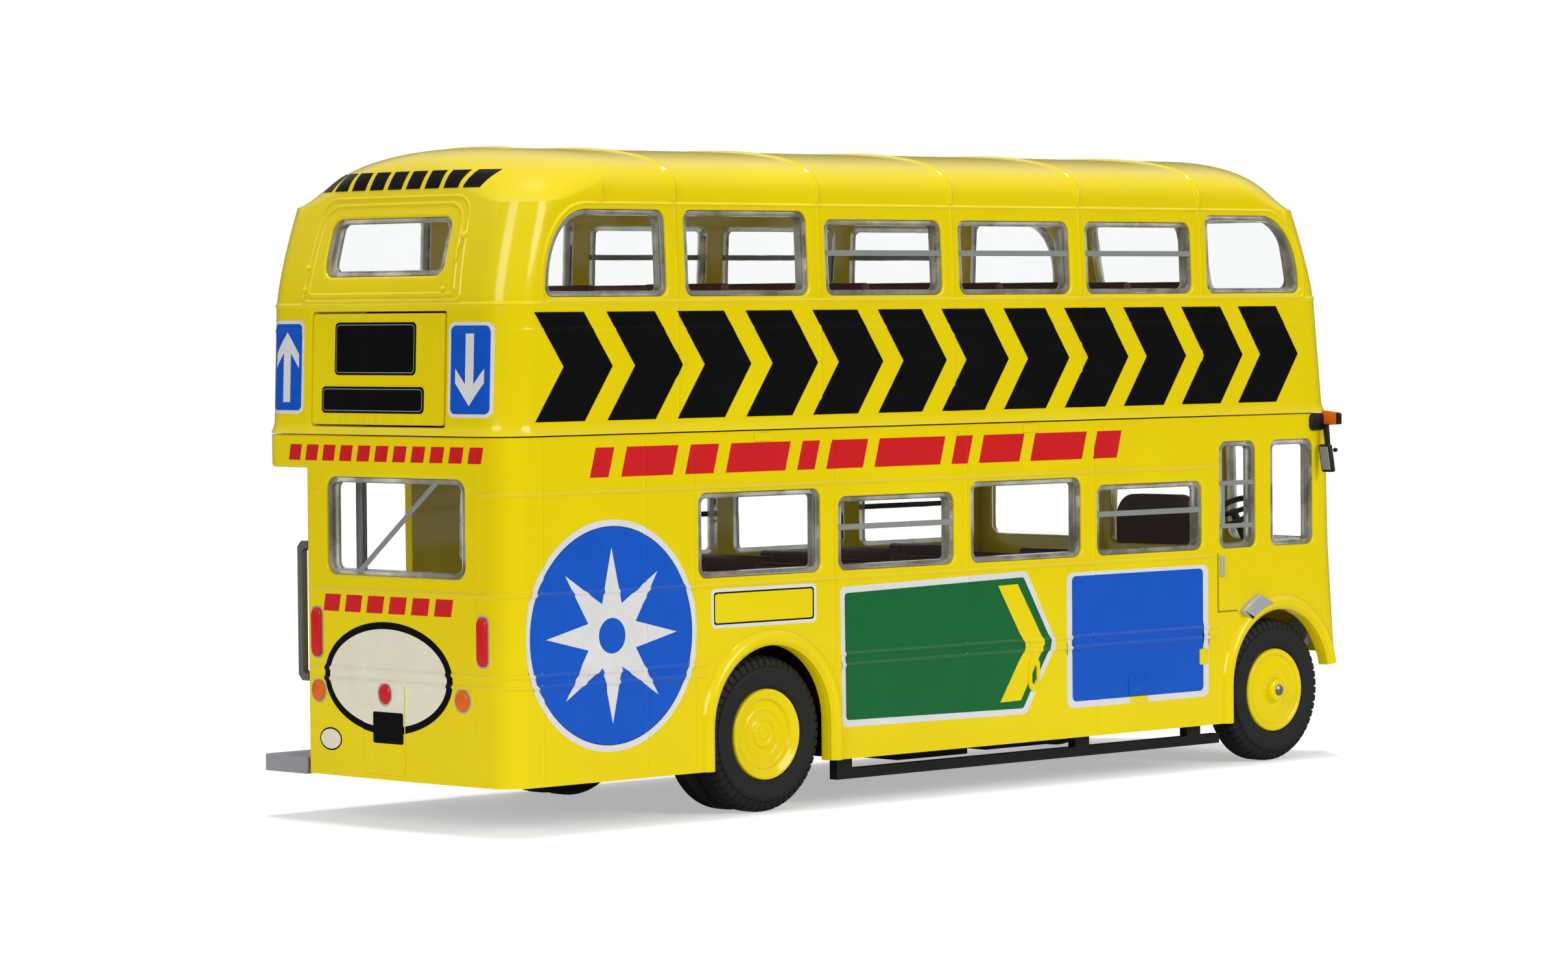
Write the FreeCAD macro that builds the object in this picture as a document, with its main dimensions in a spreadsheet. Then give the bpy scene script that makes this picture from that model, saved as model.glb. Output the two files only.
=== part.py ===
"""Double decker bus, a 1:76 die-cast collector's model: half cab, open rear platform.

Frame: +X towards the front, +Y the nearside (the platform side), +Z up. The origin is
on the ground below the middle of the model. Lengths along the bus are worked out from
the rear axle, and each finished piece is placed SHIFT further back so that the origin is
midway. The castings and the clear mouldings that follow them are lofted from plan
outlines, because their corners and roof change radius with height. Every other piece is
a sketched body or primitives whose sizes are bound to the sheet.
"""
import FreeCAD, Part
import Sketcher
import math
import os
import re
from FreeCAD import Placement, Rotation, Vector

doc = FreeCAD.newDocument("double_decker_bus")
sheet = doc.addObject("Spreadsheet::Sheet", "Sizes")

# Driving dimensions in millimetres, with a few plain ratios and powers
SIZES = {
    "wheelbase": 67.5,
    "rear_overhang": 31.15,
    "front_overhang": 11.4,
    "half_width": 16.05,
    "roof_top": 57.54,
    "wall": 1.05,
    "skirt_bottom": 4.1,
    "split_line": 33.1,
    "split_gap": 0.12,
    "waist": 44.0,
    "cant_rail": 52.6,
    "tumblehome": 0.045,
    "lower_rear_corner": 2.4,
    "upper_rear_corner": 3.4,
    "front_corner": 2.8,
    "front_top_corner": 4.5,
    "front_bow": 110.0,
    "rear_bow": 260.0,
    "rear_rise": 0.4,
    "rear_lean": 2.15,
    "upper_setback": 1.6,
    "front_rise": 1.25,
    "front_lean": 2.0,
    "rake_change": 20.5,
    "rake_low": 0.083,
    "rake_high": 0.028,
    "flare": 0.3,
    "flare_rise": 0.9,
    "dome_rear": 8.7,
    "dome_front": 5.5,
    "dome_power": 3.92,
    "corner_power": 0.7,
    "rib_width": 0.8,
    "rib_height": 0.2,
    "window_pitch": 16.77,
    "upper_pillar_rear": -10.8,
    "lower_pillar_rear": -9.6,
    "pillar_width": 2.2,
    "upper_sill": 44.7,
    "upper_head": 52.0,
    "upper_head_mid": 51.3,
    "lower_sill": 20.65,
    "lower_head": 27.9,
    "lower_head_mid": 27.1,
    "window_radius": 0.9,
    "sweep_radius": 5.6,
    "end_window_length": 14.0,
    "front_window_length": 13.2,
    "emergency_half": 7.8,
    "emergency_sill": 46.55,
    "emergency_head": 51.45,
    "panel_half": 8.78,
    "panel_sill": 33.9,
    "panel_head": 43.6,
    "band_bottom": 30.3,
    "cab_head": 30.7,
    "glass": 0.8,
    "glass_gap": 0.08,
    "glass_sink": 0.18,
    "tyre_radius": 6.8,
    "tyre_width": 2.9,
    "tyre_inset": 0.65,
    "twin_gap": 0.3,
    "hub_radius": 3.95,
    "axle_radius": 0.9,
    "axle_play": 0.06,
    "arch_radius": 6.95,
    "arch_lip": 1.45,
    "arch_swell": 0.28,
    "arch_centre": 7.6,
    "wing_bottom": 10.0,
    "cab_floor_rise": 1.6,
    "bonnet_top": 20.0,
    "cab_inner": -0.6,
    "bulkhead_clear": 2.3,
    "wing_width": 4.6,
    "wing_top": 15.7,
    "platform_front": -14.0,
    "platform_edge": 9.7,
    "platform_top": 5.4,
    "platform_thickness": 1.4,
    "platform_corner": 1.0,
    "saloon_floor_bottom": 8.6,
    "upper_floor_bottom": 31.6,
    "floor_thickness": 0.9,
    "fit_gap": 0.1,
    "gangway": 7.0,
    "seat_pitch": 8.6,
    "seat_height": 12.8,
    "seat_back": 1.1,
    "seat_depth": 4.4,
    "seat_rise": 5.4,
    "stair_run": 1.55,
    "stair_width": 8.4,
    "pole_radius": 0.48,
    "grab_radius": 0.3,
    "grab_reach": 0.75,
    "grab_low": 12.0,
    "grab_high": 24.0,
    "rail_bottom": 2.2,
    "rail_height": 0.9,
    "rail_width": 0.9,
    "rail_rear": 8.9,
    "rail_front": 59.9,
    "lump_drop": 1.3,
    "grille_proud": 0.85,
    "grille_bottom": 10.0,
    "grille_height": 8.8,
    "grille_width": 8.8,
    "grille_rim": 0.7,
    "slat_pitch": 0.73,
    "headlamp_side": 4.45,
    "headlamp_height": 11.8,
    "headlamp_radius": 1.35,
    "ear_reach": 2.0,
    "mirror_height": 2.6,
    "plinth_hole": 1.1,
    "plinth_pitch": 44.0,
}
for row, (alias, value) in enumerate(SIZES.items(), start=1):
    sheet.set("A%d" % row, alias)
    sheet.set("B%d" % row, str(value))
    sheet.setAlias("B%d" % row, alias)
doc.recompute()

BODY_REAR = sheet.flare - sheet.rear_overhang
BODY_FRONT = sheet.wheelbase + sheet.front_overhang - sheet.grille_proud
FRONT_AXLE = sheet.wheelbase
BULKHEAD = FRONT_AXLE - sheet.tyre_radius - sheet.bulkhead_clear
CAB_FLOOR = 2 * sheet.tyre_radius + sheet.cab_floor_rise
TYRE_OUTSIDE = sheet.half_width - sheet.tyre_inset

# The same places written as formulas for bound properties
SHIFT = "(rear_overhang - wheelbase - front_overhang) / 2"
REAR = "(flare - rear_overhang)"
FRONT = "(wheelbase + front_overhang - grille_proud)"
BULK = "(wheelbase - tyre_radius - bulkhead_clear)"
CAB = "(2 * tyre_radius + cab_floor_rise)"
INSIDE = "(half_width - wall - glass_gap - glass - fit_gap)"
TWIN_INNER = "(half_width - tyre_inset - 2 * tyre_width - twin_gap)"


# Bound objects

def formula(text):
    """The text with each size's name pointing at its cell of the sheet."""
    return re.sub(r"[a-z_]+", lambda word: "Sizes." + word.group() if word.group() in SIZES
                  else word.group(), text)


def bind(thing, **properties):
    """Bind properties to formulas; x, y and z stand for the parts of the placement."""
    for name, text in properties.items():
        path = "Placement.Base." + name if name in ("x", "y", "z") else name
        thing.setExpression(path, formula(text))
    return thing


def bound_box(name, x0, x1, y0, y1, z0, z1):
    """A box between two corners that are given as formulas."""
    return bind(doc.addObject("Part::Box", name), x=x0, y=y0, z=z0,
                Length="(%s) - (%s)" % (x1, x0), Width="(%s) - (%s)" % (y1, y0),
                Height="(%s) - (%s)" % (z1, z0))


def bound_rod(name, radius, length, x, y, z, way):
    """A round bar that starts at a point and runs along a vector."""
    rod = doc.addObject("Part::Cylinder", name)
    rod.Placement = Placement(Vector(), Rotation(Vector(0, 0, 1), way))
    return bind(rod, Radius=radius, Height=length, x=x, y=y, z=z)


def union(name, things):
    """One solid from several that touch."""
    joined = doc.addObject("Part::MultiFuse", name)
    joined.Shapes = things
    joined.Refine = True
    return joined


def difference(name, base, tool):
    """Base with tool taken away."""
    cut = doc.addObject("Part::Cut", name)
    cut.Base = base
    cut.Tool = tool
    cut.Refine = True
    return cut


def grouped(name, things):
    """Solids of one kind that share a piece and don't touch."""
    group = doc.addObject("Part::Compound", name)
    group.Links = things
    return group


def other_side(name, source):
    """The same piece on the other side of the bus."""
    copy = doc.addObject("Part::Mirroring", name)
    copy.Source = source
    copy.Base = Vector(0, 0, 0)
    copy.Normal = Vector(0, 1, 0)
    return copy


def outline(body, plane_role, points):
    """Closed sketch of straight lines; each corner's two places are bound to formulas."""
    count = len(body.Group) + 1
    sketch = body.newObject("Sketcher::SketchObject", "%s_outline_%d" % (body.Name, count))
    plane = [item for item in body.Origin.OriginFeatures if item.Role == plane_role][0]
    sketch.AttachmentSupport = [(plane, "")]
    sketch.MapMode = "FlatFace"
    turn = 2 * math.pi / len(points)
    ring = [Vector(10 * math.cos(turn * i), 10 * math.sin(turn * i), 0)
            for i in range(len(points))]
    for index, start in enumerate(ring):
        sketch.addGeometry(Part.LineSegment(start, ring[(index + 1) % len(ring)]), False)
    for index in range(len(ring)):
        sketch.addConstraint(
            Sketcher.Constraint("Coincident", index, 2, (index + 1) % len(ring), 1))
    for index, places in enumerate(points):
        for kind, text in zip(("DistanceX", "DistanceY"), places):
            number = sketch.addConstraint(Sketcher.Constraint(kind, -1, 1, index, 1, 1.0))
            sketch.setExpression("Constraints[%d]" % number, formula(text))
    return sketch


def padded(name, plane_role, points, length):
    """Sketched body pushed out from its plane: the XZ plane's pads run towards -Y."""
    body = doc.addObject("PartDesign::Body", name)
    pad = body.newObject("PartDesign::Pad", name + "_pad")
    pad.Profile = outline(body, plane_role, points)
    bind(pad, Length=length)
    return body


def spun(name, points):
    """Body turned about the Y axis from (radius, place along the axle) pairs."""
    body = doc.addObject("PartDesign::Body", name)
    sketch = outline(body, "XY_Plane", points)
    turning = body.newObject("PartDesign::Revolution", name + "_turning")
    turning.Profile = sketch
    turning.ReferenceAxis = (sketch, ["V_Axis"])
    turning.Angle = 360
    return body


def rounded(body, name, radius, test):
    """Round the edges of a body that pass a test on their end points."""
    doc.recompute()
    names = ["Edge%d" % number for number, edge in enumerate(body.Tip.Shape.Edges, start=1)
             if test(*[vertex.Point for vertex in edge.Vertexes])]
    base = body.Tip
    fillet = body.newObject("PartDesign::Fillet", name)
    fillet.Base = (base, names)
    return bind(fillet, Radius=radius)


def upright(a, b):
    """An edge that runs straight up."""
    return abs(a.x - b.x) < 0.001 and abs(a.y - b.y) < 0.001


# Plain shapes for the castings

def block(x0, x1, y0, y1, z0, z1):
    """A box between two corners."""
    return Part.makeBox(x1 - x0, y1 - y0, z1 - z0, Vector(x0, y0, z0))


def mirrored(shape):
    """The same shape on the other side of the bus."""
    return shape.mirror(Vector(0, 0, 0), Vector(0, 1, 0))


def rounded_outline(points, radii):
    """Closed wire through points; each round corner is turned in short flats."""
    stops = []
    count = len(points)
    for index, (point, radius) in enumerate(zip(points, radii)):
        before = (points[index - 1] - point).normalize()
        after = (points[(index + 1) % count] - point).normalize()
        half = before.getAngle(after) / 2
        reach = radius / math.tan(half)
        middle = (before + after).normalize() * (radius / math.sin(half) - radius)
        start, end = point + before * reach, point + after * reach
        flats = 1 if radius < 0.35 else 3 if radius < 2.0 else 7
        turn = Part.Arc(start, point + middle, end).toShape().discretize(flats + 1)
        if turn[0].distanceToPoint(start) > 0.001:
            turn.reverse()
        stops += turn
    return Part.makePolygon(stops + stops[:1])


def side_panel(x0, x1, z0, z1, radii, y0, y1):
    """Prism across the bus with a rounded outline in side view, corners from bottom rear."""
    corners = [Vector(x0, y0, z0), Vector(x1, y0, z0), Vector(x1, y0, z1), Vector(x0, y0, z1)]
    return Part.Face(rounded_outline(corners, radii)).extrude(Vector(0, y1 - y0, 0))


def end_panel(y0, y1, z0, z1, radii, x0, x1):
    """Prism along the bus with a rounded outline in end view, corners from bottom offside."""
    corners = [Vector(x0, y0, z0), Vector(x0, y1, z0), Vector(x0, y1, z1), Vector(x0, y0, z1)]
    return Part.Face(rounded_outline(corners, radii)).extrude(Vector(x1 - x0, 0, 0))


def plan_outline(z, rear, front, half_width, rear_corner, front_corner, grow=0.0):
    """Body outline at one height: flat sides, and bowed ends and corners in short flats."""
    rear -= grow
    front += grow
    half_width += grow
    rear_corner = min(max(rear_corner + grow, 0.3), 0.97 * half_width)
    front_corner = min(max(front_corner + grow, 0.3), 0.97 * half_width)
    half = []
    for end, way, corner, bow in ((front, 1, front_corner, sheet.front_bow + grow),
                                  (rear, -1, rear_corner, sheet.rear_bow + grow)):
        bow_centre = end - way * bow
        run = math.sqrt((bow - corner) ** 2 - (half_width - corner) ** 2)
        turn = math.atan2(half_width - corner, run)
        end_points = [Vector(bow_centre + way * bow * math.cos(a), bow * math.sin(a), z)
                      for a in (turn * step / 2 for step in range(2))]
        middle = Vector(bow_centre + way * run, half_width - corner, z)
        quarter = math.pi / 2 - turn
        end_points += [middle + Vector(way * math.cos(a), math.sin(a), 0) * corner
                       for a in (turn + quarter * step / 4 for step in range(5))]
        half += end_points if way > 0 else end_points[::-1]
    other = [Vector(p.x, -p.y, p.z) for p in half[-2:0:-1]]
    return Part.makePolygon(half + other + half[:1])


def loft(sections):
    """Solid ruled through closed wires."""
    return Part.makeLoft(sections, True, True)


# The upper casting

def upper_section(z, grow=0.0, over=0.0):
    """Outline of the upper casting at height z; over runs from 0 to 1 up the roof dome."""
    low = (min(z, sheet.waist) - sheet.split_line) / (sheet.waist - sheet.split_line)
    high = (min(z, sheet.cant_rail) - sheet.waist) / (sheet.cant_rail - sheet.waist)
    high = max(high, 0.0)
    if over > 0:
        low = high = 1.0
    half_width = sheet.half_width - sheet.tumblehome * high * (sheet.cant_rail - sheet.waist)
    rear = BODY_REAR + sheet.rear_rise * low + sheet.rear_lean * high
    front = BODY_FRONT - sheet.upper_setback - sheet.front_rise * low - sheet.front_lean * high
    rear_corner = sheet.upper_rear_corner
    front_corner = sheet.front_corner + (sheet.front_top_corner - sheet.front_corner) * high
    if over > 0:
        turn_in = 1 - math.sqrt(1 - over ** sheet.dome_power)
        half_width *= 1 - turn_in
        rear += sheet.dome_rear * turn_in
        front -= sheet.dome_front * turn_in
        swell = over ** sheet.corner_power
        rear_corner += (half_width * 0.96 - rear_corner) * swell
        front_corner += (half_width * 0.96 - front_corner) * swell
    return plan_outline(z, rear, front, half_width, rear_corner, front_corner, grow)


def upper_hull(inset, bottom, shares):
    """Closed outer form of the upper casting, moved inwards by inset."""
    sections = [upper_section(z, -inset) for z in (bottom, sheet.waist, sheet.cant_rail)]
    crown = sheet.roof_top - sheet.cant_rail
    for share in shares:
        level = sheet.cant_rail + (crown - inset) * share
        sections.append(upper_section(level, -inset, share))
    return loft(sections)


OUTER_DOME = (0.45, 0.7, 0.86, 0.95, 0.99)
INNER_DOME = (0.6, 0.88, 0.985)


def upper_walls(inset):
    """The glazed part of the upper casting's form, from the waist to the cant rail."""
    return loft([upper_section(z, -inset) for z in (sheet.waist + 0.1, sheet.cant_rail - 0.05)])


def upper_windows(margin):
    """Prisms for the side openings of the upper deck, shrunk all round by margin."""
    shapes = []
    radius = sheet.window_radius - margin * 0.5
    sweep = sheet.sweep_radius - margin
    low = sheet.upper_sill + margin
    half_pillar = sheet.pillar_width / 2 + margin
    posts = [sheet.upper_pillar_rear + sheet.window_pitch * bay for bay in range(5)]
    full = sheet.upper_head - margin
    middle = sheet.upper_head_mid - margin
    first = posts[0] - sheet.pillar_width / 2 - sheet.end_window_length + margin
    last = posts[-1] + sheet.pillar_width / 2 + sheet.front_window_length - margin
    spans = [(first, posts[0] - half_pillar, full, (radius, radius, radius, sweep))]
    for number, (post, following) in enumerate(zip(posts, posts[1:])):
        head = full if number == 0 else middle
        spans.append((post + half_pillar, following - half_pillar, head, (radius,) * 4))
    spans.append((posts[-1] + half_pillar, last, full, (radius, radius, sweep * 0.8, radius)))
    for x0, x1, high, radii in spans:
        shapes.append(side_panel(x0, x1, low, high, radii, -20, 20))
    return shapes


def upper_end_windows(margin):
    """Prisms for the emergency window at the rear and the two front windows."""
    radius = sheet.window_radius + 0.4 - margin * 0.5
    half = sheet.emergency_half - margin
    shapes = [end_panel(-half, half, sheet.emergency_sill + margin,
                        sheet.emergency_head - margin, (radius,) * 4,
                        BODY_REAR - 3, BODY_REAR + 8)]
    for side in (1, -1):
        y0, y1 = sorted((side * (0.9 + margin), side * (sheet.half_width - 3.45 - margin)))
        shapes.append(end_panel(y0, y1, sheet.upper_sill + margin, sheet.upper_head - margin,
                                (radius,) * 4, BODY_FRONT - 10, BODY_FRONT + 3))
    return shapes


def blind_space(way, margin):
    """Prism for the separate destination panel in one end wall."""
    half = sheet.panel_half - margin
    end = BODY_REAR if way < 0 else BODY_FRONT - sheet.upper_setback
    return end_panel(-half, half, sheet.panel_sill + margin, sheet.panel_head - margin,
                     (0.3,) * 4, end - 4, end + 4)


def make_upper_body():
    """Roof, upper-deck walls, flared lower edge and roof ribs, one casting."""
    bottom = sheet.split_line + sheet.split_gap
    hull = upper_hull(0.0, bottom, OUTER_DOME)
    flare = loft([upper_section(bottom, sheet.flare),
                  upper_section(bottom + sheet.flare_rise, 0.0)])
    ribs = []
    ribbed = upper_hull(-sheet.rib_height, bottom, OUTER_DOME)
    for number in range(6):
        x = (sheet.upper_pillar_rear + (number - 0.5) * sheet.window_pitch if number < 1
             else sheet.upper_pillar_rear + (number - 1) * sheet.window_pitch)
        slab = block(x - sheet.rib_width / 2, x + sheet.rib_width / 2, -20, 20,
                     sheet.cant_rail + 0.2, sheet.roof_top + 1)
        ribs.append(ribbed.common(slab))
    inside = upper_hull(sheet.wall, bottom - 0.5, INNER_DOME)
    casting = hull.fuse([flare] + ribs).cut(inside)
    openings = upper_windows(0.0) + upper_end_windows(0.0)
    return casting.cut(openings + [blind_space(-1, 0.0), blind_space(1, 0.0)]).removeSplitter()


def make_blind_panel(way):
    """Separate destination panel let into one end wall of the upper casting."""
    base = sheet.split_line
    levels = (base, sheet.waist)
    plate = loft([upper_section(z) for z in levels]).cut(
        loft([upper_section(z, -sheet.wall) for z in levels]))
    return plate.common(blind_space(way, sheet.glass_gap))


# The lower casting

def lower_section(z, grow=0.0):
    """Outline of the lower casting at height z; the front leans back, more so lower down."""
    front = BODY_FRONT - sheet.rake_low * (min(z, sheet.rake_change) - sheet.wing_bottom)
    front -= sheet.rake_high * max(z - sheet.rake_change, 0.0)
    return plan_outline(z, BODY_REAR + 0.2, front, sheet.half_width, sheet.lower_rear_corner,
                        sheet.front_corner, grow)


def lower_hull(inset, drop=0.0):
    """Closed outer form of the lower casting, moved inwards by inset."""
    levels = (sheet.skirt_bottom - drop, sheet.rake_change, sheet.split_line + drop)
    return loft([lower_section(z, -inset) for z in levels])


def half_cab_space(grow):
    """Open space over the bonnet and over the nearside wing, enlarged by grow."""
    x0 = BULKHEAD + sheet.wall - grow
    reach = BODY_FRONT + 5
    over_bonnet = block(x0, reach, sheet.cab_inner - grow, 25, sheet.bonnet_top - grow,
                        sheet.band_bottom + grow)
    wing_inner = sheet.half_width - sheet.wing_width - grow
    over_wing = block(x0, reach, wing_inner, 25, sheet.wing_top - grow, sheet.band_bottom)
    return over_bonnet.fuse(over_wing)


ARCH_TURNS = [math.pi * step / 14 for step in range(15)]


def arch_opening(x):
    """Wheel opening through both side walls, its round head in short flats."""
    radius = sheet.arch_radius
    head = [Vector(x + radius * math.cos(a), -25, sheet.arch_centre + radius * math.sin(a))
            for a in ARCH_TURNS]
    points = head + [Vector(x - radius, -25, -1), Vector(x + radius, -25, -1)]
    return Part.Face(Part.makePolygon(points + points[:1])).extrude(Vector(0, 50, 0))


def arch_lip(x, foot_rear, foot_front):
    """Rolled lip round one offside wheel opening, swollen outwards from the side."""
    inner = sheet.arch_radius
    face = -sheet.half_width
    crown = face - sheet.arch_swell
    centre = sheet.arch_centre
    steps = [(0.0, face + sheet.wall), (0.05, face + 0.45), (0.35, face - 0.05), (0.75, crown),
             (1.15, crown + 0.08), (sheet.arch_lip, face + 0.02),
             (sheet.arch_lip, face + sheet.wall)]
    points = [Vector(x + inner + out, y, centre) for out, y in steps]
    profile = Part.makePolygon(points + points[:1])
    face_shape = Part.Face(profile)
    turned_profiles = []
    for turn in ARCH_TURNS:
        section = profile.copy()
        section.rotate(Vector(x, 0, centre), Vector(0, -1, 0), math.degrees(turn))
        turned_profiles.append(section)
    ring = loft(turned_profiles)
    front_leg = face_shape.extrude(Vector(0, 0, foot_front - centre))
    turned = face_shape.copy()
    turned.rotate(Vector(x, 0, centre), Vector(0, 1, 0), 180)
    rear_leg = turned.extrude(Vector(0, 0, foot_rear - centre))
    legs = [leg for leg, foot in ((front_leg, foot_front), (rear_leg, foot_rear))
            if foot < centre]
    if foot_front > centre:
        ring = ring.cut(block(x, x + 20, -25, 25, 0, foot_front))
    return ring.fuse(legs)


def lower_windows(margin):
    """Prisms for the four saloon windows of both sides."""
    shapes = []
    radius = sheet.window_radius - margin * 0.5
    low = sheet.lower_sill + margin
    half_pillar = sheet.pillar_width / 2 + margin
    for bay in range(4):
        high = (sheet.lower_head if bay % 2 == 0 else sheet.lower_head_mid) - margin
        post = sheet.lower_pillar_rear + sheet.window_pitch * bay
        shapes.append(side_panel(post + half_pillar, post + sheet.window_pitch - half_pillar,
                                 low, high, (radius,) * 4, -25, 25))
    return shapes


def cab_windows(margin):
    """Prisms for the cab door window, the cab side window and the windscreen."""
    radius = sheet.window_radius - margin * 0.5
    low = sheet.lower_sill + margin
    high = sheet.cab_head - margin
    shapes = []
    for x0, x1 in ((FRONT_AXLE - 8.6, FRONT_AXLE - 3.4), (FRONT_AXLE - 1.2, FRONT_AXLE + 5.0)):
        shapes.append(side_panel(x0 + margin, x1 - margin, low, high, (radius,) * 4,
                                 -sheet.half_width - 4, -sheet.half_width + 4))
    shapes.append(end_panel(-sheet.half_width + 2.45 + margin, sheet.cab_inner - 1.6 - margin,
                            low, high, (radius,) * 4, BODY_FRONT - 5, BODY_FRONT + 4))
    return shapes


def bulkhead_window(margin):
    """Prism for the saloon's front window over the bonnet."""
    radius = sheet.window_radius - margin * 0.5
    return end_panel(sheet.cab_inner + 1.8 + margin, sheet.half_width - 2.65 - margin,
                     21.4 + margin, 28.6 - margin, (radius,) * 4, BULKHEAD - 3, BULKHEAD + 3)


def rear_window(margin):
    """Prism for the lower rear window."""
    radius = sheet.window_radius + 0.2 - margin * 0.5
    return end_panel(-10.9 + margin, sheet.platform_edge - 2.8 - margin, 21.3 + margin,
                     29.6 - margin, (radius,) * 4, BODY_REAR - 3, BODY_REAR + 4)


def platform_opening():
    """Open corner over the rear platform, round at its front top corner."""
    floor = sheet.platform_top - 3
    side = side_panel(BODY_REAR - 6, sheet.platform_front, floor, sheet.band_bottom,
                      (0.5, 0.5, 2.2, 0.5), sheet.platform_edge + 2, sheet.half_width + 3)
    back = block(BODY_REAR - 3, BODY_REAR + 4, sheet.platform_edge, sheet.half_width + 3, floor,
                 sheet.band_bottom)
    return side.fuse(back)


def make_lower_body():
    """Lower casting: skirt, arches, half cab, bonnet, nearside wing and open rear corner."""
    bottom = sheet.skirt_bottom
    inner = lower_hull(sheet.wall, 1.0)
    shell = lower_hull(0.0).cut(half_cab_space(0.0))
    shell = shell.cut(inner.cut(half_cab_space(sheet.wall)))
    shell = shell.cut(block(FRONT_AXLE + 4, BODY_FRONT + 5, -25, 25, -1, sheet.wing_bottom))
    for axle, foot_front in ((0.0, bottom), (FRONT_AXLE, sheet.wing_bottom)):
        shell = shell.cut(arch_opening(axle))
        lip = arch_lip(axle, bottom, foot_front)
        shell = shell.fuse([lip, mirrored(lip)])
    openings = lower_windows(0.0) + cab_windows(0.0)
    openings += [bulkhead_window(0.0), rear_window(0.0), platform_opening()]
    lamp_y = sheet.half_width - sheet.headlamp_side
    for side in (1, -1):
        openings.append(Part.makeCylinder(
            sheet.headlamp_radius + sheet.glass_gap, 12,
            Vector(BODY_FRONT - 4, side * lamp_y, sheet.headlamp_height), Vector(1, 0, 0)))
    return shell.cut(openings).removeSplitter()


# Clear mouldings that fill the windows from inside

def pane_ring(outer_hull, mid_hull, inner_hull, zone, fillers):
    """Band of clear plastic behind the wall, with pads that fill the window openings."""
    band = mid_hull.cut(inner_hull)
    pads = outer_hull.cut(inner_hull).common(fillers[0].fuse(fillers[1:]))
    return band.fuse(pads).common(zone).removeSplitter()


def make_upper_glazing():
    """Clear moulding of the upper deck."""
    gap = sheet.wall + sheet.glass_gap
    zone = block(-60, 120, -30, 30, sheet.waist + 0.15, sheet.cant_rail - 0.1)
    fillers = upper_windows(sheet.glass_gap) + upper_end_windows(sheet.glass_gap)
    return pane_ring(upper_walls(sheet.glass_sink), upper_walls(gap),
                     upper_walls(gap + sheet.glass), zone, fillers)


def make_lower_glazing():
    """Clear moulding of the saloon, cab and rear window."""
    gap = sheet.wall + sheet.glass_gap

    def hull(inset):
        levels = (sheet.rake_change, sheet.cab_head + 0.4)
        return loft([lower_section(z, -inset) for z in levels]).cut(half_cab_space(inset))
    zone = block(BODY_REAR, BODY_FRONT + 2, -30, 30, sheet.rake_change, sheet.cab_head + 0.4)
    zone = zone.cut(block(BODY_REAR - 1, sheet.platform_front + 0.6, sheet.platform_edge - 1.6,
                          30, 0, 60))
    margin = sheet.glass_gap
    fillers = lower_windows(margin) + cab_windows(margin)
    fillers += [bulkhead_window(margin), rear_window(margin)]
    return pane_ring(hull(sheet.glass_sink), hull(gap), hull(gap + sheet.glass), zone, fillers)


def shaped(name, shape):
    """Piece whose shape is worked out above from the sheet's values."""
    thing = doc.addObject("Part::Feature", name)
    thing.Shape = shape
    return thing


shaped("upper_body", make_upper_body())
shaped("lower_body", make_lower_body())
shaped("rear_blind_panel", make_blind_panel(-1))
shaped("front_blind_panel", make_blind_panel(1))
shaped("upper_glazing", make_upper_glazing())
shaped("lower_glazing", make_lower_glazing())


# Floors and seats

floor_rear = REAR + " + wall + fit_gap + 0.5"
floor_front = FRONT + " - 2.9 - wall - fit_gap"
floor_points = [
    (floor_rear, "2.4 - " + INSIDE), (floor_rear + " + 2.4", "-" + INSIDE),
    (floor_front + " - 2.4", "-" + INSIDE), (floor_front, "2.4 - " + INSIDE),
    (floor_front, INSIDE + " - 2.4"), (floor_front + " - 2.4", INSIDE),
    (floor_rear + " + 2.4", INSIDE), (floor_rear, INSIDE + " - 2.4"),
]
upper_plate = padded("upper_plate", "XY_Plane", floor_points, "floor_thickness")
bind(upper_plate, z="upper_floor_bottom")
stair_well = bound_box("stair_well", REAR + " + 2.9", REAR + " + 20.8", "-" + INSIDE + " + 0.4",
                       "-" + INSIDE + " + stair_width + 1.1", "upper_floor_bottom - 1",
                       "upper_floor_bottom + floor_thickness + 1")
difference("upper_floor", upper_plate, stair_well)


def bench_rows(name, rows, first, floor, side):
    """Row of benches along one side: cushion box and sloped back in one sketched profile."""
    profile = [("-seat_back", "0"), ("seat_depth", "0"), ("seat_depth", "seat_rise - 0.6"),
               ("seat_depth - 0.6", "seat_rise"), ("0.1", "seat_rise - 0.2"),
               ("-0.15", "seat_height - 0.4"), ("-0.45", "seat_height"),
               ("0.1 - seat_back", "seat_height"), ("-seat_back", "seat_height - 0.4")]
    body = padded(name, "XZ_Plane", profile, INSIDE + " - gangway / 2 - 0.3")
    pattern = body.newObject("PartDesign::LinearPattern", name + "_pattern")
    pattern.Originals = [item for item in body.Group if item.TypeId == "PartDesign::Pad"]
    along = [item for item in body.Origin.OriginFeatures if item.Role == "X_Axis"][0]
    pattern.Direction = (along, [""])
    pattern.Mode = "Spacing"
    pattern.Occurrences = rows
    bind(pattern, Offset="seat_pitch")
    body.Tip = pattern
    near_edge = INSIDE + " - 0.3" if side > 0 else "-gangway / 2"
    return bind(body, x=first, y=near_edge, z=floor)


def rows_between(first, last):
    """How many benches fit between two places along the bus."""
    return max(1, int((last - first - sheet.seat_depth) / sheet.seat_pitch) + 1)


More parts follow.
